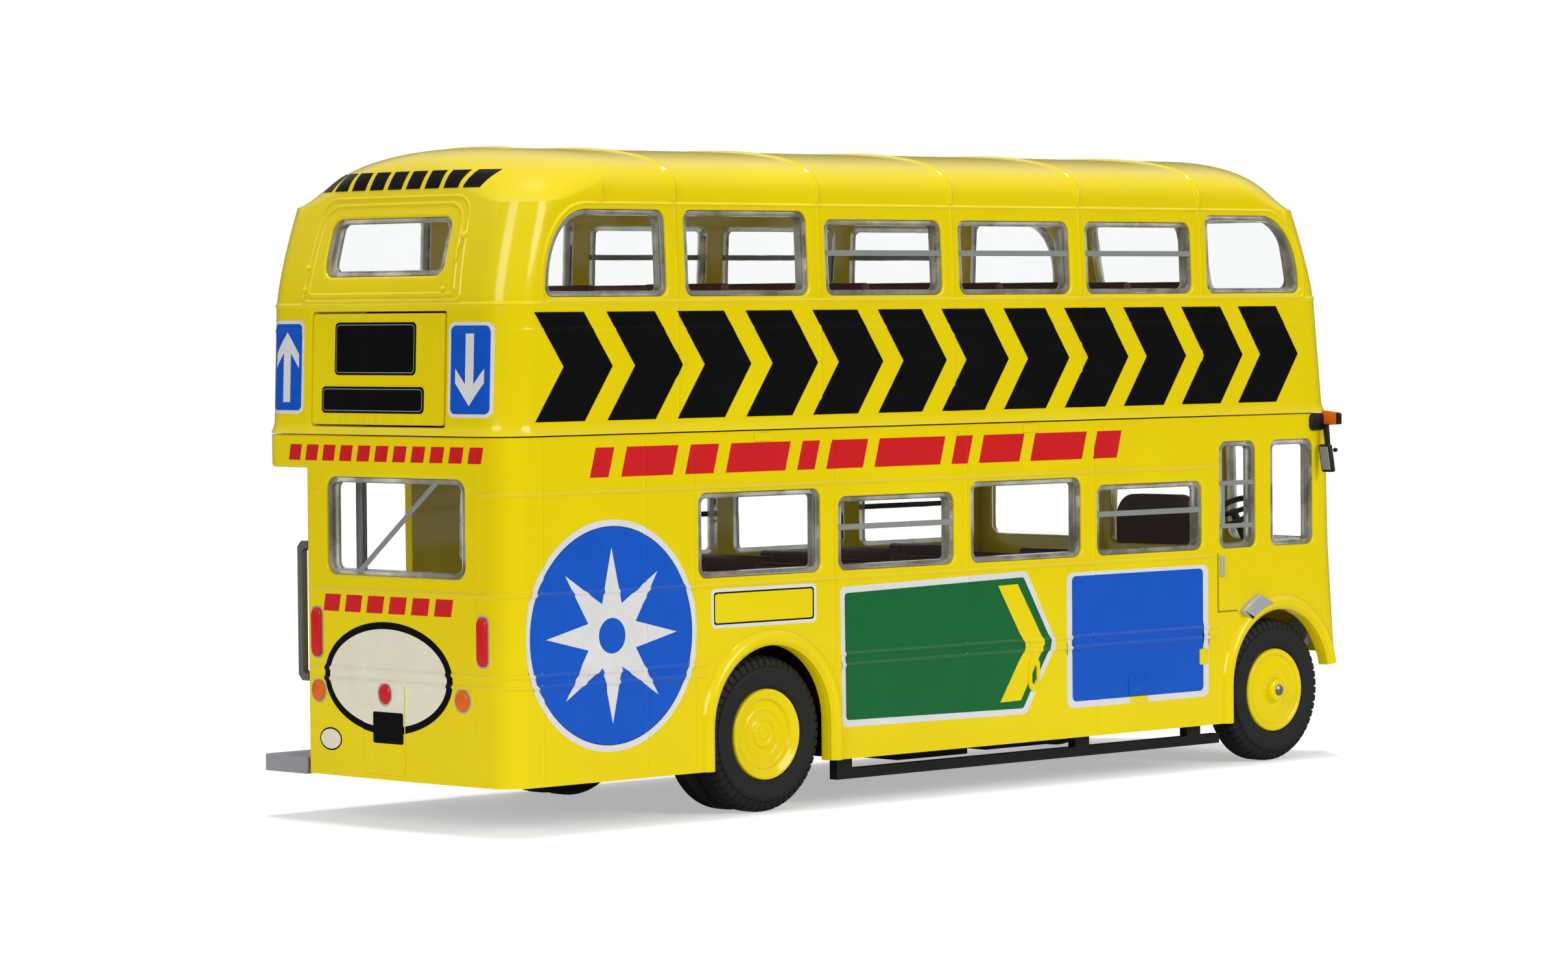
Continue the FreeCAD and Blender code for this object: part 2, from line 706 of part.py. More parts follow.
upper_top = "upper_floor_bottom + floor_thickness"
lower_top = "saloon_floor_bottom + floor_thickness"
deck_end = BODY_FRONT - 8
grouped("upper_seats", [
    bench_rows("upper_benches_nearside", rows_between(-19.5, deck_end), "-19.5", upper_top, 1),
    bench_rows("upper_benches_offside", rows_between(-2.3, deck_end), "-2.3", upper_top, -1)])
saloon_end = BULKHEAD - sheet.glass - 3 * sheet.glass_gap
grouped("lower_seats", [
    bench_rows("lower_benches_nearside", rows_between(11.0, saloon_end), "11", lower_top, 1),
    bench_rows("lower_benches_offside", rows_between(11.0, saloon_end), "11", lower_top, -1)])

rear_edge = "platform_front + 0.3"
front_edge = BULK + " - glass - 2 * glass_gap"
saloon_parts = [bound_box("saloon_plate", rear_edge, front_edge, "-" + INSIDE, INSIDE,
                          "saloon_floor_bottom", lower_top)]
wheel_spaces = []
for number, way in enumerate(("", "-")):
    near = "%s(%s - 1.6)" % (way, TWIN_INNER)
    far = way + INSIDE
    spans = [(near, far), ("%s(%s - 0.8)" % (way, TWIN_INNER), "%s(%s + 1)" % (way, INSIDE)),
             ("%s(%s - 1.2)" % (way, INSIDE), far)]
    if way:
        spans = [(y1, y0) for y0, y1 in spans]
    saloon_parts.append(bound_box(
        "wheel_box_%d" % number, "-tyre_radius - 1.7", "tyre_radius + 1.7", *spans[0],
        "saloon_floor_bottom", "2 * tyre_radius + 1.8"))
    wheel_spaces.append(bound_box(
        "wheel_space_%d" % number, "-tyre_radius - 0.9", "tyre_radius + 0.9", *spans[1],
        "0", "2 * tyre_radius + 1"))
    saloon_parts.append(bound_box(
        "squab_%d" % number, "-tyre_radius - 0.9", "tyre_radius + 0.9", *spans[2],
        "2 * tyre_radius + 1", "2 * tyre_radius + 7"))
saloon_parts.append(bound_box("platform_screen", rear_edge, rear_edge + " + 0.9", "5", INSIDE,
                              lower_top + " - 0.2", "lower_sill - 0.65"))
cab_side = "cab_inner - wall - fit_gap"
saloon_parts.append(bound_box("cab_riser", front_edge + " - 0.9", front_edge, "-" + INSIDE,
                              cab_side, lower_top + " - 0.2", CAB))
saloon_parts.append(bound_box("cab_plate", front_edge + " - 0.9", FRONT + " - 4.6",
                              "-" + INSIDE, cab_side, CAB + " - 0.8", CAB))
difference("saloon_floor", union("saloon_blank", saloon_parts),
           union("wheel_spaces", wheel_spaces))


# Staircase

stair_rise = "(upper_floor_bottom - platform_top) / 10"
treads = []
undersides = []
for step in range(10):
    x0 = "%s + 3.85 + %d * stair_run" % (REAR, step)
    top = "platform_top + %d * %s - 0.3" % (step + 1, stair_rise)
    treads.append((x0, top))
    treads.append((x0 + " + stair_run", top))
last_x = treads[-1][0]
flight_outline = [(treads[0][0], "platform_top + 0.05")] + treads
flight_outline += [(last_x, "platform_top + 7.2 * %s" % stair_rise),
                   (treads[0][0] + " + 3 * stair_run", "platform_top + 0.05")]
flight = padded("staircase", "XZ_Plane", flight_outline, "stair_width")
bind(flight, y="-%s + 0.5 + stair_width" % INSIDE)


# Cab

seat_points = [("-half_width + 3.85", "0"), ("cab_inner - 2.2", "0"), ("cab_inner - 2.2", "10.4"),
               ("-half_width + 3.85", "10.4")]
seat_back = padded("driver_back", "YZ_Plane", seat_points, "1.4")
rounded(seat_back, "driver_back_round", "2.2",
        lambda a, b: abs(a.z - b.z) < 0.001 and abs(a.y - b.y) < 0.001 and a.z > 9)
bind(seat_back, x=BULK + " + 0.6", z=CAB)
cushion = bound_box("driver_cushion", BULK + " + 1.9", BULK + " + 6.2",
                    "-half_width + 5.45", "cab_inner - 3.8", CAB, CAB + " + 4.3")
union("driver_seat", [seat_back, cushion])

rim_points = [("2.02", "0"), ("2.16", "-0.24"), ("2.44", "-0.24"), ("2.58", "0"),
              ("2.44", "0.24"), ("2.16", "0.24")]
rim = spun("wheel_rim", rim_points)
spoke = bound_box("wheel_spoke", "-0.2", "0.2", "-0.2", "0.15", "-2.3", "2.3")
column = bound_rod("steering_column", "0.4", "10.8", "0", "0.15", "0", Vector(0, -1, 0))
wheel = union("steering_assembly", [rim, spoke, column])
wheel.Placement = Placement(Vector(), Rotation(Vector(0, 1, 0), Vector(-0.55, 0, 0.84)))
bind(wheel, x="wheelbase + 2.1", y="(cab_inner - half_width) / 2", z=CAB + " + 8.4")
below_floor = bound_box("below_cab_floor", "wheelbase - 20", "wheelbase + 20", "-half_width",
                        "0", CAB + " - 20", CAB)
difference("steering_wheel", wheel, below_floor)


# Platform and grab rails

platform_outer = [
    (REAR + " + 0.15", "platform_edge + 0.1"), ("platform_front - 0.1", "platform_edge + 0.1"),
    ("platform_front - 0.1", "half_width - 0.05"), (REAR + " + 0.15", "half_width - 0.05")]
open_plate = padded("platform_step", "XY_Plane", platform_outer, "platform_thickness")
rounded(open_plate, "platform_step_round", "platform_corner",
        lambda a, b: upright(a, b) and a.x < -20 and a.y > 12)
bind(open_plate, z="platform_top - platform_thickness")
hidden_rear = REAR + " + 0.2 + wall + fit_gap + 0.45"
hidden_side = "(half_width - wall - fit_gap)"
hidden_plate = padded("platform_floor", "XY_Plane", [
    (hidden_rear, "2 - %s" % hidden_side), (hidden_rear + " + 2", "-" + hidden_side),
    ("platform_front - 0.1", "-" + hidden_side), ("platform_front - 0.1", "platform_edge + 0.2"),
    (hidden_rear, "platform_edge + 0.2")], "platform_thickness")
bind(hidden_plate, z="platform_top - platform_thickness")
union("rear_platform", [open_plate, hidden_plate])

bound_rod("platform_pole", "pole_radius", "upper_floor_bottom - platform_top",
          REAR + " + 10.15", "half_width - 2.05", "platform_top", Vector(0, 0, 1))

grab_out = "platform_edge + grab_reach + 2 * grab_radius"
grab_in = "platform_edge + grab_reach"
grab_rail = padded("platform_handrail", "YZ_Plane", [
    ("platform_edge", "grab_low"), (grab_out + " - 0.5", "grab_low"),
    (grab_out, "grab_low + 0.5"), (grab_out, "grab_high - 0.5"),
    (grab_out + " - 0.5", "grab_high"), ("platform_edge", "grab_high"),
    ("platform_edge", "grab_high - 2 * grab_radius"),
    (grab_in + " - 0.3", "grab_high - 2 * grab_radius"),
    (grab_in, "grab_high - 2 * grab_radius - 0.3"),
    (grab_in, "grab_low + 2 * grab_radius + 0.3"),
    (grab_in + " - 0.3", "grab_low + 2 * grab_radius"),
    ("platform_edge", "grab_low + 2 * grab_radius")], "2 * grab_radius")


# Chassis plate and guard rails

plate_side = "(half_width - wall - fit_gap)"
plate_bottom = "(skirt_bottom + 0.2)"
plate_top = "(skirt_bottom + 1.4)"
narrow = "(%s - 1)" % TWIN_INNER
wheel_reach = "(tyre_radius + 0.9)"
plate_parts = [
    bound_box("plate_middle", wheel_reach, "wheelbase - " + wheel_reach, "-" + plate_side,
              plate_side, plate_bottom, plate_top),
    bound_box("plate_spine", "platform_front + 0.6", FRONT + " - 3.2", "-" + narrow, narrow,
              plate_bottom, plate_top)]
for number, axle in enumerate(("0", "wheelbase")):
    for side, way in (("near", 1), ("off", -1)):
        inner, outer = narrow + " - 2.4", narrow + " - 0.2"
        y0, y1 = (inner, outer) if way > 0 else ("-(%s)" % outer, "-(%s)" % inner)
        plate_parts.append(bound_box("bearing_%s_%d" % (side, number), axle + " - 1.9",
                                     axle + " + 1.9", y0, y1, plate_bottom,
                                     "saloon_floor_bottom - fit_gap"))
for number, (x0, x1, y0, y1) in enumerate((("20", "29", "-11.5", "-5.5"),
                                           ("33", "43", "-10", "-6"), ("14", "40", "5.5", "12"),
                                           ("46", "56", "-4", "4"))):
    plate_parts.append(bound_box("chassis_lump_%d" % number, x0, x1, y0, y1,
                                 plate_bottom + " - lump_drop", plate_bottom))
bores = []
for number, axle in enumerate(("0", "wheelbase")):
    bores.append(bound_rod("axle_bore_%d" % number, "axle_radius + axle_play", "40", axle, "-20",
                           "tyre_radius", Vector(0, 1, 0)))
    away = "-" if number == 0 else "+"
    bores.append(bound_rod("plinth_bore_%d" % number, "plinth_hole", "5",
                           "wheelbase / 2 %s plinth_pitch / 2" % away, "0",
                           plate_bottom + " - 2", Vector(0, 0, 1)))
difference("base_plate", union("plate_blank", plate_parts), union("plate_bores", bores))

rail_side = "-half_width + wall + 0.1"
rail_parts = [bound_box("rail_bar", "rail_rear", "rail_front", rail_side,
                        rail_side + " + rail_width", "rail_bottom", "rail_bottom + rail_height")]
for number, post in enumerate(("rail_rear", "rail_rear + 30.9", "rail_front - 4.6")):
    rail_parts.append(bound_box("rail_post_%d" % number, post, post + " + 1.9", rail_side,
                                rail_side + " + rail_width", "rail_bottom + 0.4",
                                "skirt_bottom + 0.2"))
rail = union("guard_rail_offside", rail_parts)


# Front

grille_y = "(half_width - wing_width + cab_inner) / 2 - 0.4"
grille_side = "(grille_width / 2)"


def grille_outline(inset):
    """Upright outline with clipped lower corners and a rounded head."""
    side = "(%s - %s)" % (grille_side, inset)
    low = inset
    high = "(grille_height - %s)" % inset
    return [("0.5 - " + side, low), (side + " - 0.5", low), (side, low + " + 0.5"),
            (side, high + " - 2.0"), (side + " - 0.5", high + " - 0.7"),
            (side + " - 2.0", high), ("2.0 - " + side, high),
            ("0.5 - " + side, high + " - 0.7"), ("-" + side, high + " - 2.0"),
            ("-" + side, low + " + 0.5")]


grille_shell = padded("grille_shell", "YZ_Plane", grille_outline("0"), "grille_proud + 0.9")
well = grille_shell.newObject("PartDesign::Pocket", "grille_well")
well.Profile = outline(grille_shell, "YZ_Plane", grille_outline("grille_rim"))
well.Reversed = True
bind(well, Length="grille_proud + 1.9")
slats = padded("grille_slats", "YZ_Plane", [
    ("-4.5 * slat_pitch - 0.12", "grille_rim - 0.2"),
    ("-4.5 * slat_pitch + 0.12", "grille_rim - 0.2"),
    ("-4.5 * slat_pitch + 0.12", "grille_height - grille_rim - 0.5"),
    ("-4.5 * slat_pitch - 0.12", "grille_height - grille_rim - 0.5")], "grille_proud + 0.6")
slat_pattern = slats.newObject("PartDesign::LinearPattern", "grille_slat_pattern")
slat_pattern.Originals = [item for item in slats.Group if item.TypeId == "PartDesign::Pad"]
across = [item for item in slats.Origin.OriginFeatures if item.Role == "Y_Axis"][0]
slat_pattern.Direction = (across, [""])
slat_pattern.Mode = "Spacing"
slat_pattern.Occurrences = 10
bind(slat_pattern, Offset="slat_pitch")
slats.Tip = slat_pattern
grille_back = bound_box("grille_back", "0", "0.75", "-grille_width / 2 + 0.3",
                        "grille_width / 2 - 0.3", "0.3", "grille_height - 1")
grille_blank = union("grille_blank", [grille_shell, slats, grille_back])
bind(grille_blank, x=FRONT + " - 0.9", y=grille_y, z="grille_bottom")
front_form = shaped("front_form", lower_hull(-0.02))
difference("radiator_grille", grille_blank, front_form)

lamp = spun("headlamp_offside", [
    ("0", "0"), ("headlamp_radius", "0"), ("headlamp_radius", "-3.0"),
    ("headlamp_radius - 0.4", "-3.4"), ("0", "-3.55")])
lamp.Placement = Placement(Vector(), Rotation(Vector(0, 0, 1), 90))
bind(lamp, x=FRONT + " - 3", y="headlamp_side - half_width", z="headlamp_height")

ear_rear = "wheelbase + 5.6"
ear_points = [(ear_rear, "0.9 - half_width"), (ear_rear + " + 0.1", "-half_width - ear_reach"),
              (ear_rear + " + 1.8", "-half_width - ear_reach"),
              (ear_rear + " + 2.4", "0.9 - half_width")]
ear_blank = padded("ear_blank", "XY_Plane", ear_points, "1.1")
bind(ear_blank, z="split_line - 1.2")
ear = difference("indicator_ear_offside", ear_blank, front_form)

mirror_y = "-half_width - ear_reach + 0.7"
mirror_z = "split_line - 1.2"
mirror_arm = bound_rod("mirror_arm", "0.3", "2.1", "wheelbase + 6.4", mirror_y,
                       mirror_z + " - 2.1", Vector(0, 0, 1))
mirror_head = padded("mirror_head", "YZ_Plane", [
    ("-0.7", "0"), ("0.7", "0"), ("0.95", "0.3"), ("0.95", "mirror_height - 0.3"),
    ("0.7", "mirror_height"), ("-0.7", "mirror_height"), ("-0.95", "mirror_height - 0.3"),
    ("-0.95", "0.3")], "0.85")
bind(mirror_head, x="wheelbase + 6", y=mirror_y, z=mirror_z + " - 1.6 - mirror_height")
mirror = union("mirror_offside", [mirror_head, mirror_arm])


# Wheels

def tyre(name, axle, width, outside, shoulder):
    """Tyre turned about its axle, its outer sidewall at minus outside."""
    body = spun(name, [("hub_radius", "0")] + shoulder
                + [("tyre_radius", width), ("hub_radius", width)])
    return bind(body, x=axle, y="-(%s)" % outside, z="tyre_radius")


outer_wall = "(half_width - tyre_inset)"
sloped = [("tyre_radius - 0.55", "0"), ("tyre_radius", "0.7")]
tyres = [tyre("front_tyre_offside", "wheelbase", "(tyre_width + 0.3)", outer_wall, sloped),
         tyre("rear_tyre_offside_outer", "0", "tyre_width", outer_wall, sloped),
         tyre("rear_tyre_offside_inner", "0", "tyre_width",
              outer_wall + " - tyre_width - twin_gap", [("tyre_radius", "0")])]
hub_front = spun("front_hub_offside", [
    ("axle_radius", "tyre_width"), ("hub_radius", "tyre_width"), ("hub_radius", "0"),
    ("hub_radius - 0.5", "0"), ("1.9", "0.4"), ("axle_radius", "0.4")])
bind(hub_front, x="wheelbase", y="-" + outer_wall, z="tyre_radius")
hub_depth = "2 * tyre_width + twin_gap - 0.3"
hub_rear = spun("rear_hub_offside", [
    ("axle_radius", hub_depth), ("hub_radius", hub_depth), ("hub_radius", "0"),
    ("hub_radius - 0.6", "0"), ("1.7", "0.9"), ("axle_radius", "0.9")])
bind(hub_rear, y="-" + outer_wall, z="tyre_radius")
axles = [bound_rod("front_axle", "axle_radius", "2 * %s + 1.5" % outer_wall, "wheelbase",
                   "-%s - 0.75" % outer_wall, "tyre_radius", Vector(0, 1, 0)),
         bound_rod("rear_axle", "axle_radius", "2 * %s - 1.2" % outer_wall, "0",
                   "0.6 - " + outer_wall, "tyre_radius", Vector(0, 1, 0))]


# Final places: each offside or middle piece moves by SHIFT, and mirrored ones follow it

def by_name(name):
    return doc.getObject(name)


MIDDLE = ["upper_body", "lower_body", "rear_blind_panel", "front_blind_panel", "upper_glazing",
          "lower_glazing", "upper_floor", "upper_seats", "saloon_floor", "lower_seats",
          "driver_seat", "steering_wheel", "rear_platform", "base_plate",
          "radiator_grille"]
PLACED = {"staircase": "0", "platform_handrail": REAR + " + 0.2 + wall / 2 - grab_radius",
          "platform_pole": REAR + " + 10.15", "front_axle": "wheelbase",
          "rear_axle": "0"}
PAIRED = {"guard_rail": "0", "headlamp": FRONT + " - 3", "indicator_ear": "0", "mirror": "0",
          "front_hub": "wheelbase", "rear_hub": "0", "front_tyre": "wheelbase",
          "rear_tyre_outer": "0", "rear_tyre_inner": "0"}
for name in MIDDLE:
    bind(by_name(name), x=SHIFT)
for name, place in PLACED.items():
    bind(by_name(name), x="%s + %s" % (place, SHIFT))
nodes = MIDDLE + list(PLACED)
for pair, place in PAIRED.items():
    stem, _, tail = pair.partition("_tyre_")
    offside, nearside = (stem + "_tyre_offside_" + tail, stem + "_tyre_nearside_" + tail) \
        if tail else (pair + "_offside", pair + "_nearside")
    bind(by_name(offside), x="%s + %s" % (place, SHIFT))
    other_side(nearside, by_name(offside))
    nodes += [offside, nearside]

os.makedirs("parts", exist_ok=True)
doc.recompute()
for name in nodes:
    by_name(name).Label = name
for thing in doc.Objects:
    if "Invalid" in thing.State or "Error" in thing.State:
        raise RuntimeError(thing.Label + " did not build")
for name in nodes:
    shape = by_name(name).Shape
    if shape.isNull() or not shape.isValid():
        raise RuntimeError(name + " is not a valid shape")
for name in nodes:
    shape = by_name(name).Shape
    shape.exportStep("parts/%s.step" % name)
    box = shape.optimalBoundingBox(False)
    print("%-26s solids %d  vol %9.2f  x %7.2f %7.2f  y %7.2f %7.2f  z %6.2f %6.2f" % (
        name, len(shape.Solids), shape.Volume, box.XMin, box.XMax, box.YMin, box.YMax, box.ZMin,
        box.ZMax))
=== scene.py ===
"""Looks of the double decker bus, a die-cast model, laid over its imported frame."""
import bmesh
import bpy
import numpy as np
from mathutils import Matrix, Vector
from mathutils.geometry import delaunay_2d_cdt


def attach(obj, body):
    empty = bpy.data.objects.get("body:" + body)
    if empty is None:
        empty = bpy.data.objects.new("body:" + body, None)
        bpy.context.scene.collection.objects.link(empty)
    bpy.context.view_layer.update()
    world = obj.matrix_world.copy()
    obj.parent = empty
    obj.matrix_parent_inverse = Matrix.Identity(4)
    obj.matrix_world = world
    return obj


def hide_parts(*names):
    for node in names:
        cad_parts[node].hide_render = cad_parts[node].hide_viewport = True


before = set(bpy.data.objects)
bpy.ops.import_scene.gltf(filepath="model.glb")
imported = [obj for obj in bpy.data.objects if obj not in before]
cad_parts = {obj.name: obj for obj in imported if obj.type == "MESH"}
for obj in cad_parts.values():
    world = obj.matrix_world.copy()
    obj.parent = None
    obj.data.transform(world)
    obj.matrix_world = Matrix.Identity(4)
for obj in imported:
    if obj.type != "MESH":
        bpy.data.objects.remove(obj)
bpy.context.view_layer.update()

# Places are in millimetres from the rear axle on the ground; metres() moves them to the frame
AXLE_SHIFT = -23.875  # the rear axle's place along the bus in the frame
REAR_AXLE, FRONT_AXLE, HUB_LEVEL = 0.0, 67.5, 6.8
HALF = 16.05  # half of the body's width
WALL = 1.05  # thickness of both castings
SKIRT, BONNET, BELT, CANOPY, LOWER_TOP = 4.1, 20.0, 20.5, 30.3, 33.1  # lower casting's levels
SPLIT, WAIST, CANT = 33.22, 44.0, 52.6  # upper casting's levels
DOME, ROOF_RISE, ROOF_POWER = 9.0, 4.94, 0.5102  # run, rise and curve of the roof past CANT
BAY, POST = 16.77, 1.1  # pitch of the windows and half of a post between them
BULKHEAD = 58.4  # front end of the saloon
LAMP_Y, LAMP_Z = 11.6, 11.8  # middle of a headlamp
ARCH_RADIUS, ARCH_LEVEL = 6.95, 7.6  # head of a wheel opening and its middle's height
SIDES, SIGNED = ("offside", "nearside"), (("offside", -1), ("nearside", 1))
CLOCKWISE = ("nearside", "rear")  # walls whose measures run clockwise, seen from outside


def metres(points):
    """Millimetres from the rear axle to metres in the frame."""
    return (np.asarray(points, float) + [AXLE_SHIFT, 0.0, 0.0]) * 0.001


# Finishes

class Value:
    """A number that varies over a surface; sums on it add Math nodes."""

    def __init__(self, nodes, socket):
        self.nodes, self.socket = nodes, socket

    def sum(self, operation, *others, first=None):
        values = ([self] if first is None else [first, self]) + list(others)
        return self.nodes.math(operation, *values)

    def __add__(self, other):
        return self.sum("ADD", other)

    def __radd__(self, other):
        return self.sum("ADD", first=other)

    def __sub__(self, other):
        return self.sum("SUBTRACT", other)

    def __rsub__(self, other):
        return self.sum("SUBTRACT", first=other)

    def __mul__(self, other):
        return self.sum("MULTIPLY", other)

    def __rmul__(self, other):
        return self.sum("MULTIPLY", first=other)

    def __truediv__(self, other):
        return self.sum("DIVIDE", other)

    def __pow__(self, other):
        return self.sum("POWER", other)

    def clamped(self):
        """The number held between 0 and 1."""
        made = self.sum("ADD", 0.0)
        made.socket.node.use_clamp = True
        return made


class Nodes:
    """The nodes of one tree, with short ways to add more."""

    def __init__(self, tree):
        self.tree = tree

    def set(self, node, sockets):
        """Set or link a node's sockets; spaces in their names are written as low lines, and
        i with a number is the socket at that place."""
        for key, value in sockets.items():
            socket = node.inputs[int(key[1:])] if key[0] == "i" and key[1:].isdigit() \
                else node.inputs[key.replace("_", " ")]
            if isinstance(value, Value):
                self.tree.links.new(value.socket, socket)
            elif isinstance(value, bpy.types.NodeSocket):
                self.tree.links.new(value, socket)
            elif socket.type == "RGBA" and len(value) == 3:
                socket.default_value = (*value, 1.0)
            else:
                socket.default_value = value
        return node

    def node(self, kind, settings=None, **sockets):
        """Any node: its settings first, then its sockets' values or links."""
        made = self.tree.nodes.new("ShaderNode" + kind)
        for key, value in (settings or {}).items():
            setattr(made, key, value)
        return self.set(made, sockets)

    def math(self, operation, *values):
        """A Math node's result."""
        made = self.node("Math", {"operation": operation},
                         **{"i%d" % number: value for number, value in enumerate(values)})
        return Value(self, made.outputs[0])

    def place(self):
        """Object coordinates."""
        return self.node("TexCoord").outputs["Object"]

    def axes(self):
        """Object coordinates as three numbers in millimetres from the rear axle."""
        split = self.node("SeparateXYZ", Vector=self.place())
        x, y, z = (Value(self, socket) * 1000.0 for socket in split.outputs)
        return x - AXLE_SHIFT, y, z

    def noise(self, scale, detail=3.0, roughness=0.55):
        """Cloudy noise from 0 to 1; scale is in waves a metre."""
        made = self.node("TexNoise", Vector=self.place(), Scale=scale, Detail=detail,
                         Roughness=roughness)
        return Value(self, made.outputs[0])

    def cells(self, scale):
        """Distance to the nearest of scattered points."""
        made = self.node("TexVoronoi", Vector=self.place(), Scale=scale)
        return Value(self, made.outputs["Distance"])

    def rays(self):
        """Whether a ray comes from the camera or through glass, and whether it is mirrored."""
        path = self.node("LightPath").outputs
        seen = self.math("MAXIMUM", path["Is Camera Ray"], path["Is Transmission Ray"])
        return seen, Value(self, path["Is Glossy Ray"])

    def blend(self, factor, first, second):
        """Mix two colours by a factor."""
        made = self.node("Mix", {"data_type": "RGBA"}, i0=factor, i6=first, i7=second)
        return made.outputs[2]

    def bump(self, height, distance, strength=1.0, normal=None):
        """Surface normal from a height; distance is in metres."""
        sockets = {"Height": height, "Distance": distance, "Strength": strength}
        if normal is not None:
            sockets["Normal"] = normal
        return self.node("Bump", **sockets).outputs[0]


class Finish(Nodes):
    """A material built from nodes around one surface shader."""

    def __init__(self, name, **sockets):
        self.material = bpy.data.materials.new(name)
        self.material.use_nodes = True
        super().__init__(self.material.node_tree)
        self.shader = self.tree.nodes["Principled BSDF"]
        self.output = self.tree.nodes["Material Output"]
        self.set(self.shader, sockets)

    def done(self, **sockets):
        """The material, once the shader's last sockets are set."""
        self.set(self.shader, sockets)
        return self.material


def display(red, green, blue):
    """Linear colour from the 0 to 255 values that a screen shows."""
    return tuple(((c / 255 + 0.055) / 1.055) ** 2.4 if c > 10 else c / 255 / 12.92
                 for c in (red, green, blue))


def darker(colour, share):
    """A colour dimmed to a share of itself."""
    return tuple(c * share for c in colour)


def paint(name, colour, deep, gloss=0.16):
    """Sprayed enamel: soft orange peel, thin and thick places, a few specks of dust."""
    f = Finish(name, Roughness=gloss, Specular_IOR_Level=0.2, Coat_Weight=0.3,
               Coat_Roughness=0.05)
    cloud = f.noise(70.0, 2.0)
    wave = f.noise(900.0, 2.0, 0.4)
    speck = (0.09 - f.cells(420.0)).clamped() * 9.0
    worn = ((cloud - 0.42) * 1.6).clamped()
    base = f.blend(worn, deep, colour)
    base = f.blend(speck * 0.35, base, deep)
    rough = gloss + 0.05 * f.noise(220.0, 2.0) + 0.1 * speck
    return f.done(Base_Color=base, Roughness=rough,
                  Normal=f.bump(wave + speck * 0.15, 0.000007, 0.5))


def printed(name, colour, second=None, gloss=0.22, level=0.4):
    """Pad-printed ink: an even coat with a trace of mottle and fine pinholes."""
    f = Finish(name, Roughness=gloss, Specular_IOR_Level=level)
    pin = (0.12 - f.cells(900.0)).clamped() * 8.0
    mottle = f.noise(400.0, 3.0)
    dark = second or darker(colour, 0.86)
    base = f.blend((mottle - 0.3).clamped(), dark, colour)
    base = f.blend(pin * 0.2, base, dark)
    return f.done(Base_Color=base, Roughness=gloss + 0.08 * mottle,
                  Normal=f.bump(mottle + 0.3 * f.noise(2500.0), 0.000006, 0.4))


def moulded(name, colour, gloss=0.45, grain=1600.0, depth=0.00002):
    """Injection-moulded plastic: fine spark grain with lighter flecks, and faint flow marks."""
    f = Finish(name, Roughness=gloss, Specular_IOR_Level=0.3)
    grains = f.noise(grain, 4.0, 0.6)
    flow = f.noise(120.0, 2.0)
    base = f.blend((flow * 0.7).clamped(), darker(colour, 0.8), colour)
    base = f.blend((grains - 0.55).clamped() * 0.5, base,
                   tuple(min(1.0, c * 1.25 + 0.01) for c in colour))
    return f.done(Base_Color=base, Roughness=gloss - 0.08 + 0.2 * grains,
                  Normal=f.bump(grains, depth, 0.6))


def metal(name, colour, gloss=0.3, metallic=0.75, ribs=None):
    """Silver finish: fine flake and small dull patches; ribs is how many
    tread ribs there are in a millimetre along the bus."""
    f = Finish(name, Metallic=metallic, Roughness=gloss)
    flake = f.noise(3200.0, 2.0)
    cloud = f.noise(160.0, 3.0)
    base = f.blend((cloud * 0.8).clamped(), darker(colour, 0.78), colour)
    normal = f.bump(flake, 0.00001, 0.5)
    if ribs:
        wave = (f.math("SINE", f.axes()[0] * (2 * np.pi * ribs)) + 0.2).clamped()
        normal = f.bump(wave, 0.00012, 0.8, normal)
    return f.done(Base_Color=base, Roughness=gloss + 0.22 * cloud, Normal=normal)


def frosted(name, pale, dull):
    """Moulded edge of the clear windows: milky, streaked and a little see-through."""
    f = Finish(name, Roughness=0.15, IOR=1.25, Transmission_Weight=0.66)
    streak = f.noise(330.0, 3.0, 0.6)
    fine = f.noise(1500.0, 2.0)
    base = f.blend(((streak - 0.36) * 3.2).clamped(), dull, pale)
    return f.done(Base_Color=base, Roughness=0.08 + 0.2 * fine,
                  Normal=f.bump(streak + 0.3 * fine, 0.00006, 0.5))


def clear(name):
    """Clear moulded plastic, slightly wavy, with a few specks inside the window."""
    tint, dust = (0.97, 0.98, 0.98), (0.25, 0.25, 0.25)
    f = Finish(name, IOR=1.12, Transmission_Weight=1.0)
    speck = (0.05 - f.cells(700.0)).clamped() * 16.0
    wave = f.noise(160.0, 2.0, 0.5)
    return f.done(Base_Color=f.blend(speck * 0.5, tint, dust),
                  Roughness=0.02 + 0.2 * speck, Normal=f.bump(wave, 0.00008, 0.35))


YELLOW = paint("yellow_enamel", display(250, 229, 0), display(242, 217, 0))
# Darker olive yellow: painted shade that stands in for the shadow inside a recessed line, not a
# colour of the enamel.
GROOVE_SHADE = paint("yellow_enamel_painted_groove_shade", display(196, 178, 6), display(150, 138, 10), 0.3)
BLACK = printed("black_ink", (0.003, 0.003, 0.003), (0.006, 0.006, 0.006), level=0.06)
BLUE = printed("blue_ink", display(0, 92, 214))
GREEN = printed("green_ink", display(14, 112, 56))
RED = printed("red_ink", display(226, 26, 32))
WHITE = printed("white_ink", display(240, 240, 240))
CREAM = printed("cream_ink", display(250, 245, 222))
GREY = printed("grey_ink", display(150, 155, 150))
AMBER = printed("amber_ink", display(244, 112, 18))
SILVER = metal("silver_paint", display(208, 210, 214), 0.3, 0.4)
TREAD = metal("platform_silver", display(186, 189, 194), 0.35, 0.4, 1.6)
POLE = metal("rail_silver", display(150, 152, 156))
# Flat grey on the mirror's face: its silver print, and also a painted reflection in place of what
# the mirror would show.
MIRROR = printed("mirror_glass", display(150, 153, 146))
LENS = printed("lamp_glass", display(214, 218, 220), gloss=0.08)
STEEL = metal("steel_pin", display(150, 152, 156), 0.22)
MAROON = moulded("maroon_plastic", display(80, 24, 20))
